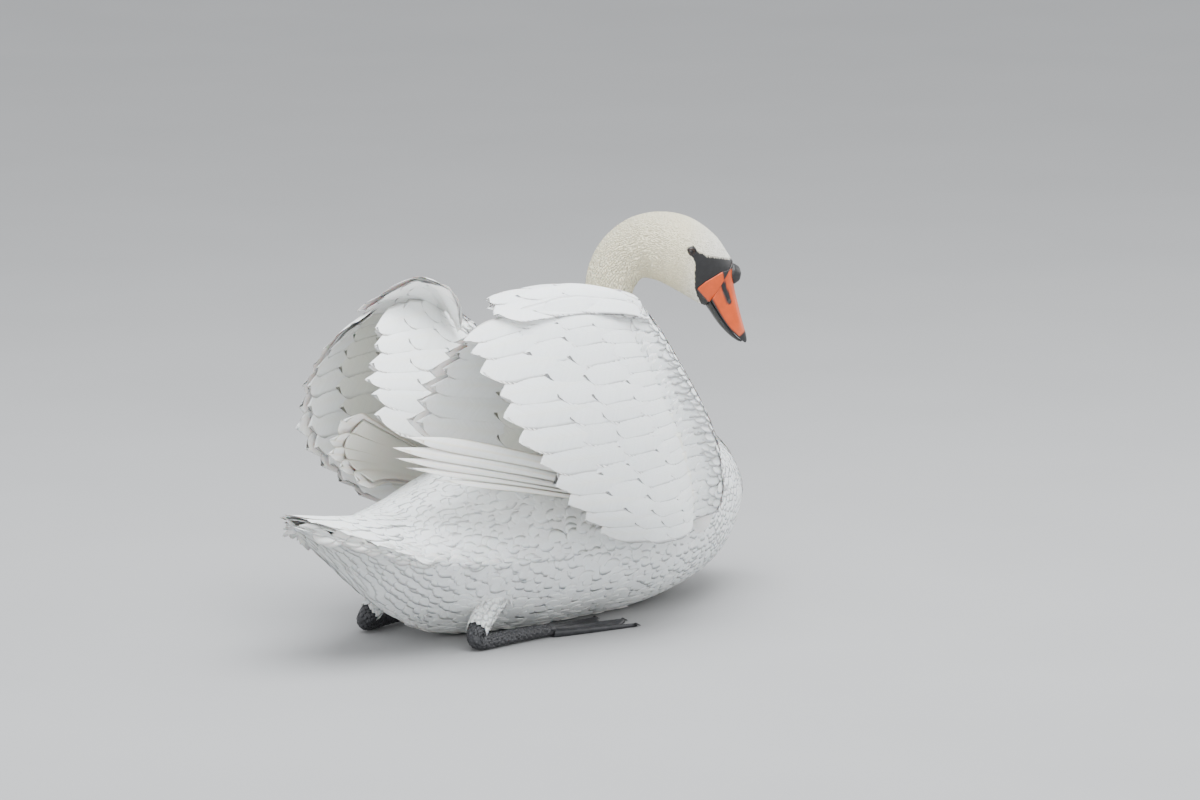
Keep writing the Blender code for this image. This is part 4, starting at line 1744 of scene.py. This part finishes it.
def band(name: str, surface: Surface, made: PlumeBand, tree: TreeMaker, finish: Material,
         rng: Random) -> Piece:
    """Grows a band of small plumes on a wing's face.

    Args:
        name: Its name.
        surface: What it lies on.
        made: How it is laid.
        tree: The tree that lays plumes.
        finish: Its finish.
        rng: Seeded random numbers.

    Returns:
        The band.
    """
    s, t = scatter(surface, made.start, made.end,
                   lambda at: np.interp(at, [made.start, made.end], made.long), 0.36, 1.15, made.slim, rng)
    keep = (t > 0.005) & (t < 0.995)
    s, t = s[keep], t[keep]
    count = len(s)
    long = np.interp(s, [made.start, made.end], made.long) * rng.uniform(0.9, 1.1, count)
    pose = np.stack([np.full(count, made.lift), long * made.rise, rng.normal(0, 0.006, count) * long], 1)
    tint = np.array(made.tint) * rng.uniform(0.98, 1.0, (count, 1))
    heading = rng.normal(0, 0.06, count)
    plumes = lay(surface, s, t, long, long * made.slim, heading, pose, long * 0.010, tint, rng)
    return grow(name, tree, plumes, made.cut, finish)


@dataclass
class FeatherMaker:
    """Makes the rows, webs and tufts of a wing or tail, with one finish and one run of random numbers."""

    tree: TreeMaker
    finish: Material
    rng: Random

    def row(self, name: str, surface: Surface, made: VaneRow, tint: Colour = WHITE,
            edge: Colour = WHITE) -> Piece:
        """A row of long feathers."""
        return vanes(name, surface, made, tint, edge, self.finish, self.rng)

    def web(self, name: str, surface: Surface, start: float, end: float, thick: float,
            tint: Colour = WHITE) -> Piece:
        """The thin web that feathers lie on."""
        return core(name, surface, start, end, thick, tint, self.finish)

    def tuft(self, name: str, surface: Surface, made: PlumeBand) -> Piece:
        """A band of small plumes."""
        return band(name, surface, made, self.tree, self.finish, self.rng)


LEAF = dict(overlap=1.75, camber=1.3 * MM, taper=0.25, tip=0.30, rows=20, columns=9, lean=0.6 * MM,
            dive=5 * MM)


@dataclass
class WingFeathers:
    """All the feathers of one raised wing."""

    side: str
    tree: TreeMaker
    finish: Material
    seed: int = 31

    def __post_init__(self) -> None:
        """Finds the wing, its outer face and its random numbers."""
        self.wing = WINGS[self.side]
        self.face = WingFace(self.wing, self.side, lift=0.0, s_span=(-0.9, 1.1))
        rng = np.random.default_rng(self.seed + (self.side == "left"))
        self.hand = FeatherMaker(self.tree, self.finish, rng)

    def coverts(self) -> list[Piece]:
        """Plumes round the arm, then three rows of coverts on a web.

        Returns:
            The rows.
        """
        hand, face = self.hand, self.face
        back = ArmBack(self.wing, self.side, s_span=(-0.1, 0.8))
        return [
            hand.tuft("a", face, PlumeBand(-0.30, 0.14, (15 * MM, 26 * MM), rise=0.012, lift=0.2 * MM)),
            hand.tuft("b", back, PlumeBand(0.0, 0.60, (15 * MM, 24 * MM), rise=0.012, lift=0.2 * MM)),
            hand.row("f", face, VaneRow(19, -0.02, 0.40, overlap=1.8, lift=0.9 * MM, rise=0.4 * MM,
                                        tip=0.3)),
            hand.row("c", face, VaneRow(15, 0.16, 0.60, overlap=1.8, lift=0.7 * MM, rise=0.5 * MM)),
            hand.row("d", face, VaneRow(13, 0.20, 0.78, overlap=1.8, lift=0.3 * MM, rise=0.5 * MM)),
            hand.web("e", WingFace(self.wing, self.side, lift=-0.4 * MM), 0.05, 0.90, 3.0 * MM),
        ]

    def secondaries(self) -> list[Piece]:
        """The long feathers of the shield's rim, and three rows that line it.

        Returns:
            The rows.
        """
        hand = self.hand
        lining = SheetSurface(self.wing.shield, self.side, facing=-1.0, lift=3.4 * MM)
        rim = VaneRow(self.wing.shield.feathers, 0.38, 1.0, overlap=1.6, lift=-0.3 * MM, rise=0.6 * MM,
                      camber=0.9 * MM, tip=0.20, rows=26)
        return [
            hand.row("a", self.face, rim, edge=IVORY_SHAFT_AND_SHADE),
            hand.row("b", lining, VaneRow(11, 0.30, 0.97, overlap=1.7, lift=0.0), edge=IVORY_SHAFT_AND_SHADE),
            # Painted shade: the inner lining rows are tinted ivory, as the shield's inside lies in shade.
            hand.row("c", lining, VaneRow(12, 0.08, 0.72, overlap=1.7, lift=0.4 * MM), IVORY_SHAFT_AND_SHADE, IVORY_SHAFT_AND_SHADE),
            hand.row("d", lining, VaneRow(13, -0.03, 0.45, overlap=1.7, lift=0.7 * MM), IVORY_SHAFT_AND_SHADE, IVORY_SHAFT_AND_SHADE),
        ]

    def tertials(self) -> list[Piece]:
        """The inner wall of the wing: three rows on a web, plumes at its root, and a lining.

        Returns:
            The rows.
        """
        hand, inner = self.hand, self.wing.inner
        wall = SheetSurface(inner, self.side, facing=-1.0, s_span=(-0.1, 1.1))
        hollow = SheetSurface(inner, self.side, facing=1.0, lift=3.0 * MM)
        return [
            hand.web("a", wall, 0.0, 0.82, 3.0 * MM),
            hand.row("b", wall, VaneRow(inner.feathers, 0.30, 1.0, lift=0.0, **LEAF), edge=IVORY_SHAFT_AND_SHADE),
            hand.row("c", wall, VaneRow(6, 0.12, 0.74, lift=0.8 * MM, **LEAF), edge=IVORY_SHAFT_AND_SHADE),
            hand.row("d", wall, VaneRow(7, 0.0, 0.46, lift=1.6 * MM, **LEAF)),
            hand.tuft("e", wall, PlumeBand(-0.04, 0.16, (24 * MM, 34 * MM), lift=2.6 * MM)),
            hand.row("f", hollow, VaneRow(6, 0.25, 0.97, lift=0.0, **LEAF), edge=IVORY_SHAFT_AND_SHADE),
            # Painted shade: the lining deep in the wing's hollow is tinted ivory.
            hand.row("g", hollow, VaneRow(7, 0.0, 0.62, lift=0.6 * MM, **LEAF), IVORY_SHAFT_AND_SHADE, IVORY_SHAFT_AND_SHADE),
        ]

    def scapulars(self) -> list[Piece]:
        """The crest over the wing's top, and its lining.

        Returns:
            The rows.
        """
        hand, crest = self.hand, self.wing.crest
        top = SheetSurface(crest, self.side, facing=1.0, s_span=(-0.2, 1.1))
        below = SheetSurface(crest, self.side, facing=-1.0, lift=3.0 * MM)
        return [
            hand.web("a", top, 0.0, 0.80, 3.0 * MM),
            hand.row("b", top, VaneRow(crest.feathers, 0.30, 1.0, lift=0.0, **LEAF)),
            hand.row("c", top, VaneRow(4, 0.10, 0.78, lift=0.8 * MM, **LEAF)),
            hand.row("d", top, VaneRow(5, 0.0, 0.54, lift=1.2 * MM, **LEAF)),
            hand.tuft("e", top, PlumeBand(0.0, 0.22, (24 * MM, 34 * MM), rise=0.012, lift=0.8 * MM)),
            hand.row("f", below, VaneRow(4, 0.28, 0.97, lift=0.0, **LEAF)),
            hand.row("g", below, VaneRow(5, 0.0, 0.66, lift=0.6 * MM, **LEAF)),
        ]

    def primaries(self) -> list[Piece]:
        """The folded flight feathers, which lie back like blades.

        Returns:
            The rows.
        """
        flight = self.wing.flight
        blades = SheetSurface(flight, self.side, facing=1.0, s_span=(-0.1, 1.1))
        row = VaneRow(flight.feathers, 0.02, 1.0, overlap=1.35, lift=0.0, rise=1.0 * MM, lean=2.2 * MM,
                      camber=2.6 * MM, taper=0.30, tip=0.14, rows=34, columns=9, thick=1.0 * MM)
        # Painted shade: the web under the folded flight feathers is ivory, and their shafts and rims take
        # cream, partly the shafts' own tone and partly painted shade, as the stack lies in shade.
        return [self.hand.web("a", blades, 0.02, 0.80, 2.4 * MM, IVORY_SHAFT_AND_SHADE),
                self.hand.row("b", blades, row, edge=CREAM)]

    def build(self) -> list[tuple[Piece, tuple[str, ...]]]:
        """Makes each group of feathers.

        Returns:
            The groups, each with the solids that it stands for.
        """
        groups = (("covert", "coverts"), ("secondary", "secondaries"), ("tertial", "tertials"),
                  ("scapular", "scapulars"), ("primary", "primaries"))
        prefix = "wing_" + self.side
        return [(join(f"{prefix}_{kind}_feathers", getattr(self, group)()), (f"{prefix}_{group}",))
                for kind, group in groups]


@dataclass
class TailFan:
    """The fan of tail feathers, with short coverts over its roots."""

    tree: TreeMaker
    finish: Material
    seed: int = 71

    def build(self) -> Piece:
        """Makes the fan.

        Returns:
            The fan as one piece.
        """
        hand = FeatherMaker(self.tree, self.finish, np.random.default_rng(self.seed))
        top = SheetSurface(TAIL_FAN, "right", facing=1.0, lift=0.4 * MM, s_span=(-0.2, 1.1))
        under = SheetSurface(TAIL_FAN, "right", facing=-1.0, lift=2.2 * MM)
        parts = [
            hand.web("a", top, 0.0, 0.92, 2.0 * MM),
            hand.row("b", top, VaneRow(11, 0.0, 1.0, overlap=1.6, lift=0.0, rise=0.6 * MM, camber=0.8 * MM,
                                       lean=0.6 * MM, tip=0.22, rows=20), edge=IVORY_SHAFT_AND_SHADE),
            hand.tuft("c", top, PlumeBand(-0.15, 0.40, (26 * MM, 32 * MM), lift=1.0 * MM)),
            hand.row("d", under, VaneRow(9, 0.0, 0.96, overlap=1.7, lift=0.0, tip=0.22), edge=IVORY_SHAFT_AND_SHADE),
        ]
        return join("tail_feathers", parts)


# --- bill, knob and eyes ---
ORANGE = (0.60, 0.075, 0.006)
PINK = (0.60, 0.130, 0.055)
BLACK_HORN = (0.014, 0.014, 0.015)


def reach_of(place: Array, start: Span, end: Span) -> Array:
    """Distance of places (ahead, up) from the line between two points.

    Args:
        place: Places, one a row.
        start: One end of the line.
        end: The other.

    Returns:
        The distances.
    """
    a, b = np.array(start), np.array(end)
    share = np.clip(((place - a) @ (b - a)) / ((b - a) @ (b - a)), 0, 1)
    return np.linalg.norm(place - a - share[:, None] * (b - a), axis=1)


@dataclass
class Bill:
    """Both halves of the bill, the plates of horn that run back beside it, and the knob."""

    rings: int = 96
    ring_points: int = 72
    plate_lift: float = 0.25 * MM
    plate_depth: float = 1.6 * MM
    nostril: tuple = ((248.6, 356.0), (256.2, 338.5))

    def half(self, name: str, sections: tuple) -> Piece:
        """One half of the bill as a smooth loft through the solid's own sections.

        Args:
            name: Its name.
            sections: Its sections from base to tip.

        Returns:
            The half.
        """
        rows = np.array([(*dome, *edge, width) for dome, edge, width in sections])
        x = 1 - (1 - np.linspace(0, 1, self.rings)) ** 1.6
        v = spline_at(rows, x)
        if name == "bill_lower_horn":
            v[:, 2:4] += np.array([0.8, 0.6])
        else:
            v[:, 4] += 1.8 * np.clip(1 - x / 0.12, 0, 1)
        angle = 2 * math.pi * (np.arange(self.ring_points) + 0.5) / self.ring_points
        share = np.maximum(0.0, (np.cos(angle) + 0.25) / 1.25)
        ahead = v[:, 2:3] + (v[:, 0:1] - v[:, 2:3]) * share
        up = v[:, 3:4] + (v[:, 1:2] - v[:, 3:4]) * share
        side = v[:, 4:5] * signed_power(np.sin(angle), 0.7)
        if name == "bill_upper_horn":
            place = np.stack([ahead.ravel(), up.ravel()], 1)
            hole = np.clip(1 - (reach_of(place, *self.nostril) / 2.3) ** 2, 0, 1).reshape(side.shape)
            side = side * (1 - 0.20 * hole * (np.abs(side) > 3))
        mesh = loft_mesh(head_points(ahead, side, up))
        place = head_place(points_of(mesh))
        flat = place[:, [0, 2]]
        tint = tiled(BLACK_HORN, len(place))
        if name == "bill_upper_horn":
            to_tip = smooth_step(place[:, 0] - 0.55 * place[:, 2], 92, 112)
            tint = mix(tiled(ORANGE, len(place)), PINK, to_tip * 0.75)
            dark = 1 - smooth_step(reach_of(flat, (248.5, 360.0), (257.0, 337.0)), 2.6, 3.8)
            edge_line = np.interp(place[:, 2], [288, 299, 306, 313, 321, 330, 340],
                                  [276.5, 264.8, 258.2, 252.6, 247.2, 241.6, 235.8])
            dark = np.maximum(dark, 1 - smooth_step(place[:, 0] - edge_line, 1.3, 2.4))
            nail = smooth_step(place[:, 0] * 0.62 - place[:, 2] * 0.78, -65.5, -63.0)
            dark = np.maximum(dark, nail)
            knob_edge = smooth_step(flat[:, 1], 372.0, 374.5)
            dark = np.maximum(dark, knob_edge)
            tint = mix(tint, BLACK_HORN, dark)
        paint(mesh, "tint", tint)
        return new_object(name, mesh)

    def plates(self) -> Piece:
        """The plates of orange horn that run back from the bill on the sides of the face.

        Returns:
            Both plates as one piece.
        """
        body = BodyLoft()
        s, t = grid_of(np.linspace(0, 5, 160), ring(200))
        place = head_place(body.shape(s, t)).reshape(-1, 3)
        tree = BVHTree.FromPolygons(place.tolist(), grid_faces(160, 200, wrap=True).tolist())
        corners = np.array(HORN_OUTLINE)
        closed = np.concatenate([corners, corners[:1]])
        rim = np.concatenate([a + (b - a) * np.linspace(0, 1, max(2, int(np.linalg.norm(b - a))),
                                                        endpoint=False)[:, None]
                              for a, b in zip(closed[:-1], closed[1:])])
        grid = np.stack(np.meshgrid(np.arange(216, 262, 1.1), np.arange(326, 376, 1.1)), -1).reshape(-1, 2)
        grid = grid[inside(HORN_OUTLINE, grid)]
        grid = grid[np.min(np.linalg.norm(grid[:, None] - rim[None], axis=2), axis=1) > 0.7]
        flat = np.concatenate([rim, grid])
        edges = [(k, (k + 1) % len(rim)) for k in range(len(rim))]
        verts, _, faces, *_ = delaunay_2d_cdt([Vector(p) for p in flat], edges, [], 1, 1e-4)
        flat = np.array([tuple(v) for v in verts])
        parts = []
        for sign in (-1.0, 1.0):
            over, under = [], []
            for ahead, up in flat:
                hit, normal, _, _ = tree.ray_cast(Vector((ahead, sign * 80, up)), Vector((0, -sign, 0)))
                if hit is None:
                    hit, normal, _, _ = tree.find_nearest(Vector((ahead, sign * 14, up)))
                out = normal if normal.y * sign > 0 else -normal
                over.append(hit + out * self.plate_lift / MM)
                under.append(hit - out * self.plate_depth / MM)
            n = len(over)
            top = [tuple(f) if sign > 0 else tuple(reversed(f)) for f in faces]
            sides = [(a, b, b + n, a + n) for a, b in edges]
            mesh = mesh_from(head_points(*np.array([tuple(p) for p in over + under]).T),
                             top + [tuple(i + n for i in reversed(f)) for f in top] + sides)
            clean(mesh)
            place = head_place(points_of(mesh))[:, [0, 2]]
            reach = reach_of(place, (218.6, 352.6), (231.5, 338.0))
            low = np.minimum(reach, reach_of(place, (231.5, 338.0), (243.0, 331.0)))
            dark = 1 - smooth_step(low, 0.8, 1.8)
            dark = np.maximum(dark, smooth_step(place[:, 0] + 0.2 * place[:, 1], 321.5, 323.5))
            paint(mesh, "tint", mix(tiled(ORANGE, len(place)), BLACK_HORN, dark))
            parts.append(new_object("plate", mesh))
        return join("bill_side_plates", parts)

    def knob(self) -> Piece:
        """The black knob over the bill's base, with a furrowed root.

        Returns:
            The knob.
        """
        t, p = grid_of(np.linspace(0.02, math.pi - 0.02, 40), ring(56))
        radius = KNOB_RADIUS / MM * (1 + 0.02 * np.sin(5 * p) * np.sin(t) + 0.015 * np.cos(9 * t))
        ahead = KNOB_PLACE[0] + radius * np.cos(t)
        side = 0.92 * radius * np.sin(t) * np.cos(p)
        up = KNOB_PLACE[1] + 1.12 * radius * np.sin(t) * np.sin(p)
        mesh = loft_mesh(head_points(ahead, side, up))
        paint(mesh, "tint", tiled(BLACK_HORN, len(mesh.vertices)))
        return new_object("bill_knob_horn", mesh)


@dataclass
class Eye:
    """One eye: a dark ball with a pupil, and the rims of both lids round it."""

    side: str
    lid_radius: float = 4.7
    lid_thick: float = 0.85

    def sign(self) -> float:
        """Left is +1."""
        return 1.0 if self.side == "left" else -1.0

    def ball(self) -> Piece:
        """The eyeball.

        Returns:
            The ball.
        """
        t, p = grid_of(np.linspace(0.01, math.pi - 0.01, 48), ring(48))
        radius = EYE_RADIUS / MM
        ahead = EYE_PLACE[0] + radius * np.sin(t) * np.cos(p)
        up = EYE_PLACE[1] + radius * np.sin(t) * np.sin(p)
        side = self.sign() * (EYE_OFFSET + radius * np.cos(t))
        mesh = loft_mesh(head_points(ahead, side, up))
        place = head_place(points_of(mesh))
        off = np.linalg.norm(place[:, [0, 2]] - np.array(EYE_PLACE), axis=1)
        tint = mix(tiled(PUPIL, len(place)), IRIS,
                   smooth_step(off, 2.0, 2.5))
        tint = mix(tint, IRIS_RIM, smooth_step(off, 3.9, 4.3))
        paint(mesh, "tint", tint)
        return new_object("eye_ball_" + self.side, mesh)

    def lids(self) -> Piece:
        """The rims of the lids, a little longer than high, drawn out behind and before.

        Returns:
            The lids.
        """
        a, b = grid_of(ring(72), ring(14))
        corner = 1 + 0.16 * np.abs(np.cos(a)) ** 6
        radius = self.lid_radius * corner + self.lid_thick * np.cos(b)
        ahead = EYE_PLACE[0] + radius * np.cos(a)
        up = EYE_PLACE[1] + 0.92 * radius * np.sin(a)
        depth = math.sqrt((EYE_RADIUS / MM) ** 2 - self.lid_radius**2)
        side = self.sign() * (EYE_OFFSET + depth + self.lid_thick * np.sin(b) - 0.25)
        points = head_points(ahead, side, up).reshape(-1, 3)
        faces = grid_faces(72, 14, wrap=True).tolist()
        faces += [(71 * 14 + c, 71 * 14 + (c + 1) % 14, (c + 1) % 14, c) for c in range(14)]
        mesh = mesh_from(points, faces)
        clean(mesh)
        paint(mesh, "tint", tiled(BLACK_SKIN, len(mesh.vertices)))
        return new_object("eye_lids_" + self.side, mesh)


# --- legs and feet ---
LEG = ((-150, -70, 58, 13), (-186, -76, 34, 11), (-203, -80, 17, 10), (-196, -83, 10, 9),
       (-160, -86, 9, 7.5), (-120, -89, 8.5, 7), (-88, -91, 7.5, 7))
FOOT_LENGTH, FOOT_SPREAD = 118 * MM, 30 * MM
FOOT_START = np.array((-93, -91, 0)) * MM
TOES = 3
WEB_GREY = (0.035, 0.036, 0.040)


class LegSurface(Surface):
    """The folded leg, thigh to ankle, as a round surface."""

    closed = True
    t_span = (0.0, 2 * math.pi)

    def __init__(self, side: str) -> None:
        """Takes the side.

        Args:
            side: The swan's side.
        """
        self.mirror = 1.0 if side == "right" else -1.0
        self.facing = self.mirror
        self.rows = np.array(LEG, float) * MM

    def shape(self, s: Array, t: Array) -> Array:
        """The leg's surface, kept above the floor.

        Args:
            s: Places from thigh to ankle.
            t: Angles round it.

        Returns:
            Points of the leg.
        """
        v = spline_at(self.rows, s)
        along = unit(spline_at(self.rows, s + 0.01)[..., :3] - spline_at(self.rows, s - 0.01)[..., :3])
        across = unit(np.cross(along, np.array([0.0, 1.0, 0.0])))
        level = np.cross(along, across)
        points = v[..., :3] + (across * np.cos(t)[..., None] + level * np.sin(t)[..., None]) * v[..., 3:4]
        points[..., 2] = np.maximum(points[..., 2], FOOT_FLOOR)
        return points * np.array([1.0, self.mirror, 1.0])


@dataclass
class Leg:
    """A leg with its scutes, and a webbed foot with claws."""

    side: str
    tree: TreeMaker
    finish: Material

    def leg(self) -> Piece:
        """The leg with rows of scutes over it.

        Returns:
            The leg.
        """
        surface = LegSurface(self.side)
        s, t = grid_of(np.linspace(0, 1, 70), ring(28))
        mesh = loft_mesh(surface.shape(s, t))
        paint(mesh, "tint", tiled(WEB_GREY, len(mesh.vertices)))
        mesh.materials.append(self.finish)
        core_piece = new_object("leg_core", mesh)
        rng = np.random.default_rng(5)
        s, t = scatter(surface, 0.22, 0.97, lambda at: 6.5 * MM, 0.62, 1.5, 0.5, rng)
        count = len(s)
        ones = np.ones(count)
        pose = np.stack([ones * -0.2 * MM, ones * 0.3 * MM, ones * 0], 1)
        plumes = lay(surface, s, t, ones * 6.5 * MM, ones * 3.1 * MM, ones * 0, pose, ones * 0.5 * MM,
                     tiled(WEB_GREY, count) * rng.uniform(0.8, 1.3, (count, 1)), rng)
        scutes = grow("leg_scutes", self.tree, plumes, PlumeCut(5, 3, 1.0, 0.35), self.finish)
        return join("leg_skin_" + self.side, [core_piece, scutes])

    def thigh(self, finish: Material) -> Piece:
        """The white plumes that cover the thigh down to the bare shank.

        Args:
            finish: Finish of the plumes.

        Returns:
            The plumes.
        """
        surface = LegSurface(self.side)
        rng = np.random.default_rng(6)
        s, t = scatter(surface, 0.0, 0.20, lambda at: 15 * MM, 0.24, 0.9, 0.34, rng)
        count = len(s)
        long = 15 * MM * rng.uniform(0.9, 1.1, count)
        pose = np.stack([np.full(count, 1.4 * MM), long * 0.05, rng.normal(0, 0.01, count) * long], 1)
        tint = mix(tiled(WHITE, count), WET_AND_SHADE_GREY, np.full(count, 0.3))
        heading = rng.normal(0, 0.1, count)
        plumes = lay(surface, s, t, long, long * 0.36, heading, pose, long * 0.012, tint, rng)
        return grow("plumes_thigh_" + self.side, self.tree, plumes, PlumeCut(5, 3, 1.2, 0.5), finish)

    def foot(self) -> Piece:
        """The folded web with three toes and their claws.

        Returns:
            The foot.
        """
        mirror = np.array([1.0, 1.0 if self.side == "right" else -1.0, 1.0])
        u, v = np.meshgrid(np.linspace(0, 1, 44), np.linspace(0, 1, 61), indexing="xy")
        toe = np.cos(math.pi * v * (TOES - 1)) ** 2
        reach = FOOT_LENGTH * u * (0.86 + 0.14 * toe - 0.1 * np.abs(2 * v - 1))
        wide = (2 * v - 1) * (0.28 + 0.72 * u**0.8) * FOOT_SPREAD
        joints = 0.25 * MM * np.abs(np.sin(u * 40)) * toe
        high = (1.6 + 8.5 * (0.25 + 0.75 * toe**3) * (1 - 0.72 * u)) * MM + joints
        flat = np.stack([FOOT_START[0] + reach, FOOT_START[1] + wide - reach * 0.1, np.zeros_like(u)], -1)
        over = flat + np.stack([0 * u, 0 * u, high], -1)
        under = flat + np.array([0, 0, FOOT_FLOOR])
        for edge in RIM:
            over[edge] = under[edge]
        points = np.concatenate([over.reshape(-1, 3), under.reshape(-1, 3)]) * mirror
        faces = np.concatenate([grid_faces(61, 44), grid_faces(61, 44, flip=True) + 61 * 44])
        mesh = mesh_from(points, faces)
        clean(mesh)
        paint(mesh, "tint", tiled(WEB_GREY, len(mesh.vertices)))
        parts = [new_object("web", mesh)]
        for k in range(TOES):
            across = k / (TOES - 1)
            tip_reach = FOOT_LENGTH * (1.0 - 0.1 * abs(2 * across - 1))
            beside = (2 * across - 1) * FOOT_SPREAD - tip_reach * 0.1
            start = FOOT_START + np.array([tip_reach - 4 * MM, beside, 0])
            a, b = grid_of(np.linspace(0, 1, 10), ring(14))
            radius = 2.2 * MM * (1 - a) ** 0.7 + 0.05 * MM
            claw = np.stack([start[0] + 9 * MM * a, start[1] + radius * np.cos(b),
                             2.8 * MM * (1 - a**1.6) + 0.6 * MM + radius * np.sin(b) * 0.9], -1)
            claw[..., 2] = np.maximum(claw[..., 2], FOOT_FLOOR)
            claw_mesh = loft_mesh(claw * mirror)
            paint(claw_mesh, "tint", tiled(BLACK_HORN, len(claw_mesh.vertices)))
            parts.append(new_object("claw", claw_mesh))
        return join("foot_skin_" + self.side, parts)


# --- studio ---
@dataclass(frozen=True)
class Studio:
    """Floor, soft light and camera."""

    aim: tuple[float, float, float] = (0.065, -0.033, 0.238)
    distance: float = 9.5
    azimuth: float = math.radians(-50)
    elevation: float = math.radians(10)
    lens: float = 254.5
    world: float = 1.25

    def camera(self) -> None:
        """A long lens at the swan's right rear, a little above it."""
        data = bpy.data.cameras.new("camera")
        data.lens, data.sensor_width, data.clip_end = self.lens, 36.0, 60.0
        made = put("camera", data)
        back = Vector((math.sin(self.azimuth) * math.cos(self.elevation),
                       -math.cos(self.azimuth) * math.cos(self.elevation), math.sin(self.elevation)))
        made.location = Vector(self.aim) + back * self.distance
        made.rotation_euler = (-back).to_track_quat("-Z", "Y").to_euler()
        bpy.context.scene.camera = made

    def lamp(self, name: str, place: tuple[float, float, float], size: float, watts: float,
             colour: Colour) -> None:
        """A soft square lamp that looks at the swan.

        Args:
            name: Its name.
            place: Where it hangs.
            size: Its side.
            watts: Its power.
            colour: Its colour.
        """
        data = bpy.data.lights.new(name, "AREA")
        data.size, data.energy, data.color = size, watts, colour
        made = put(name, data)
        made.location = place
        made.rotation_euler = (Vector(self.aim) - Vector(place)).to_track_quat("-Z", "Y").to_euler()
        made.visible_camera = False

    def build(self) -> None:
        """Makes the whole studio."""
        floor_mesh = mesh_from(np.array([(-30, -30, 0), (30, -30, 0), (30, 30, 0), (-30, 30, 0)], float),
                               [(0, 1, 2, 3)])
        floor = new_object("studio_floor", floor_mesh)
        floor_mesh.materials.append(Floor().make())
        self.camera()
        self.lamp("overhead", (-0.3, -0.4, 2.6), 2.6, 170.0, (0.96, 0.98, 1.0))
        self.lamp("rear_fill", (-3.0, -2.6, 1.1), 2.2, 52.0, (1.0, 1.0, 1.0))
        self.lamp("front_fill", (2.8, -1.6, 1.3), 2.0, 44.0, (1.0, 0.99, 0.97))
        world = bpy.data.worlds.new("studio")
        world.use_nodes = True
        back = world.node_tree.nodes["Background"]
        back.inputs["Color"].default_value = (0.97, 0.98, 1.0, 1)
        back.inputs["Strength"].default_value = self.world
        bpy.context.scene.world = world


def dress(piece: Piece, finish: Material) -> Piece:
    """Gives a piece one finish.

    Args:
        piece: The piece.
        finish: The finish.

    Returns:
        The piece.
    """
    piece.data.materials.clear()
    piece.data.materials.append(finish)
    piece.data.polygons.foreach_set("material_index", np.zeros(len(piece.data.polygons), np.int32))
    return piece


def main() -> None:
    """Builds the studio and every piece in order."""
    logging.basicConfig(level=logging.INFO, format="%(message)s", stream=sys.stdout)
    Studio().build()
    tree = plume_tree()
    white = Plumage().make()
    cream = Plumage("plumage_cream", barb=0.9 * MM, relief=0.18 * MM).make()
    skin_finish = Plumage("skin", relief=0.3 * MM, strength=0.4, grain=Grain.BODY).make()
    orange = Tinted("bill_orange", 0.36, 900.0, 0.12 * MM, coat=0.15).make()
    black = Tinted("bill_black", 0.42, 900.0, 0.15 * MM, coat=0.1).make()
    bare = Tinted("bare_black_skin", 0.5, 1400.0, 0.25 * MM, mottle=0.3).make()
    glossy = Tinted("eye", 0.05, 300.0, 0.0).make()
    web = Tinted("foot_skin", 0.50, 1200.0, 0.2 * MM, mottle=0.3, coat=0.05).make()

    skin = Skin().build(skin_finish, bare)
    hand_in(skin, "plumage_white", "trunk", "neck_lower", "neck_middle", "neck_upper", "head",
            "wing_right_arm", "wing_left_arm")
    for zone in ZONES:
        coat = Coat(tree, cream if zone.slot == "plumage_cream" else white)
        hand_in(coat.build(zone), zone.slot)
    for side in ("right", "left"):
        for piece, nodes in WingFeathers(side, tree, white).build():
            hand_in(piece, "plumage_white", *nodes)
    hand_in(TailFan(tree, white).build(), "plumage_white", "tail")
    bill = Bill()
    hand_in(dress(bill.half("bill_upper_horn", UPPER_BILL), orange), "bill_orange", "bill_upper")
    hand_in(dress(bill.plates(), orange), "bill_orange")
    hand_in(dress(bill.half("bill_lower_horn", LOWER_BILL), black), "bill_black", "bill_lower")
    hand_in(dress(bill.knob(), black), "bill_black", "bill_knob")
    for side in ("left", "right"):
        eye = Eye(side)
        hand_in(dress(eye.ball(), glossy), "eye", "eye_" + side)
        hand_in(dress(eye.lids(), black), "bill_black")
        leg = Leg(side, tree, web)
        hand_in(leg.leg(), "foot_skin", "leg_" + side)
        hand_in(leg.thigh(white), "plumage_white")
        hand_in(dress(leg.foot(), web), "foot_skin", "foot_" + side)


if __name__ == "__main__":
    main()
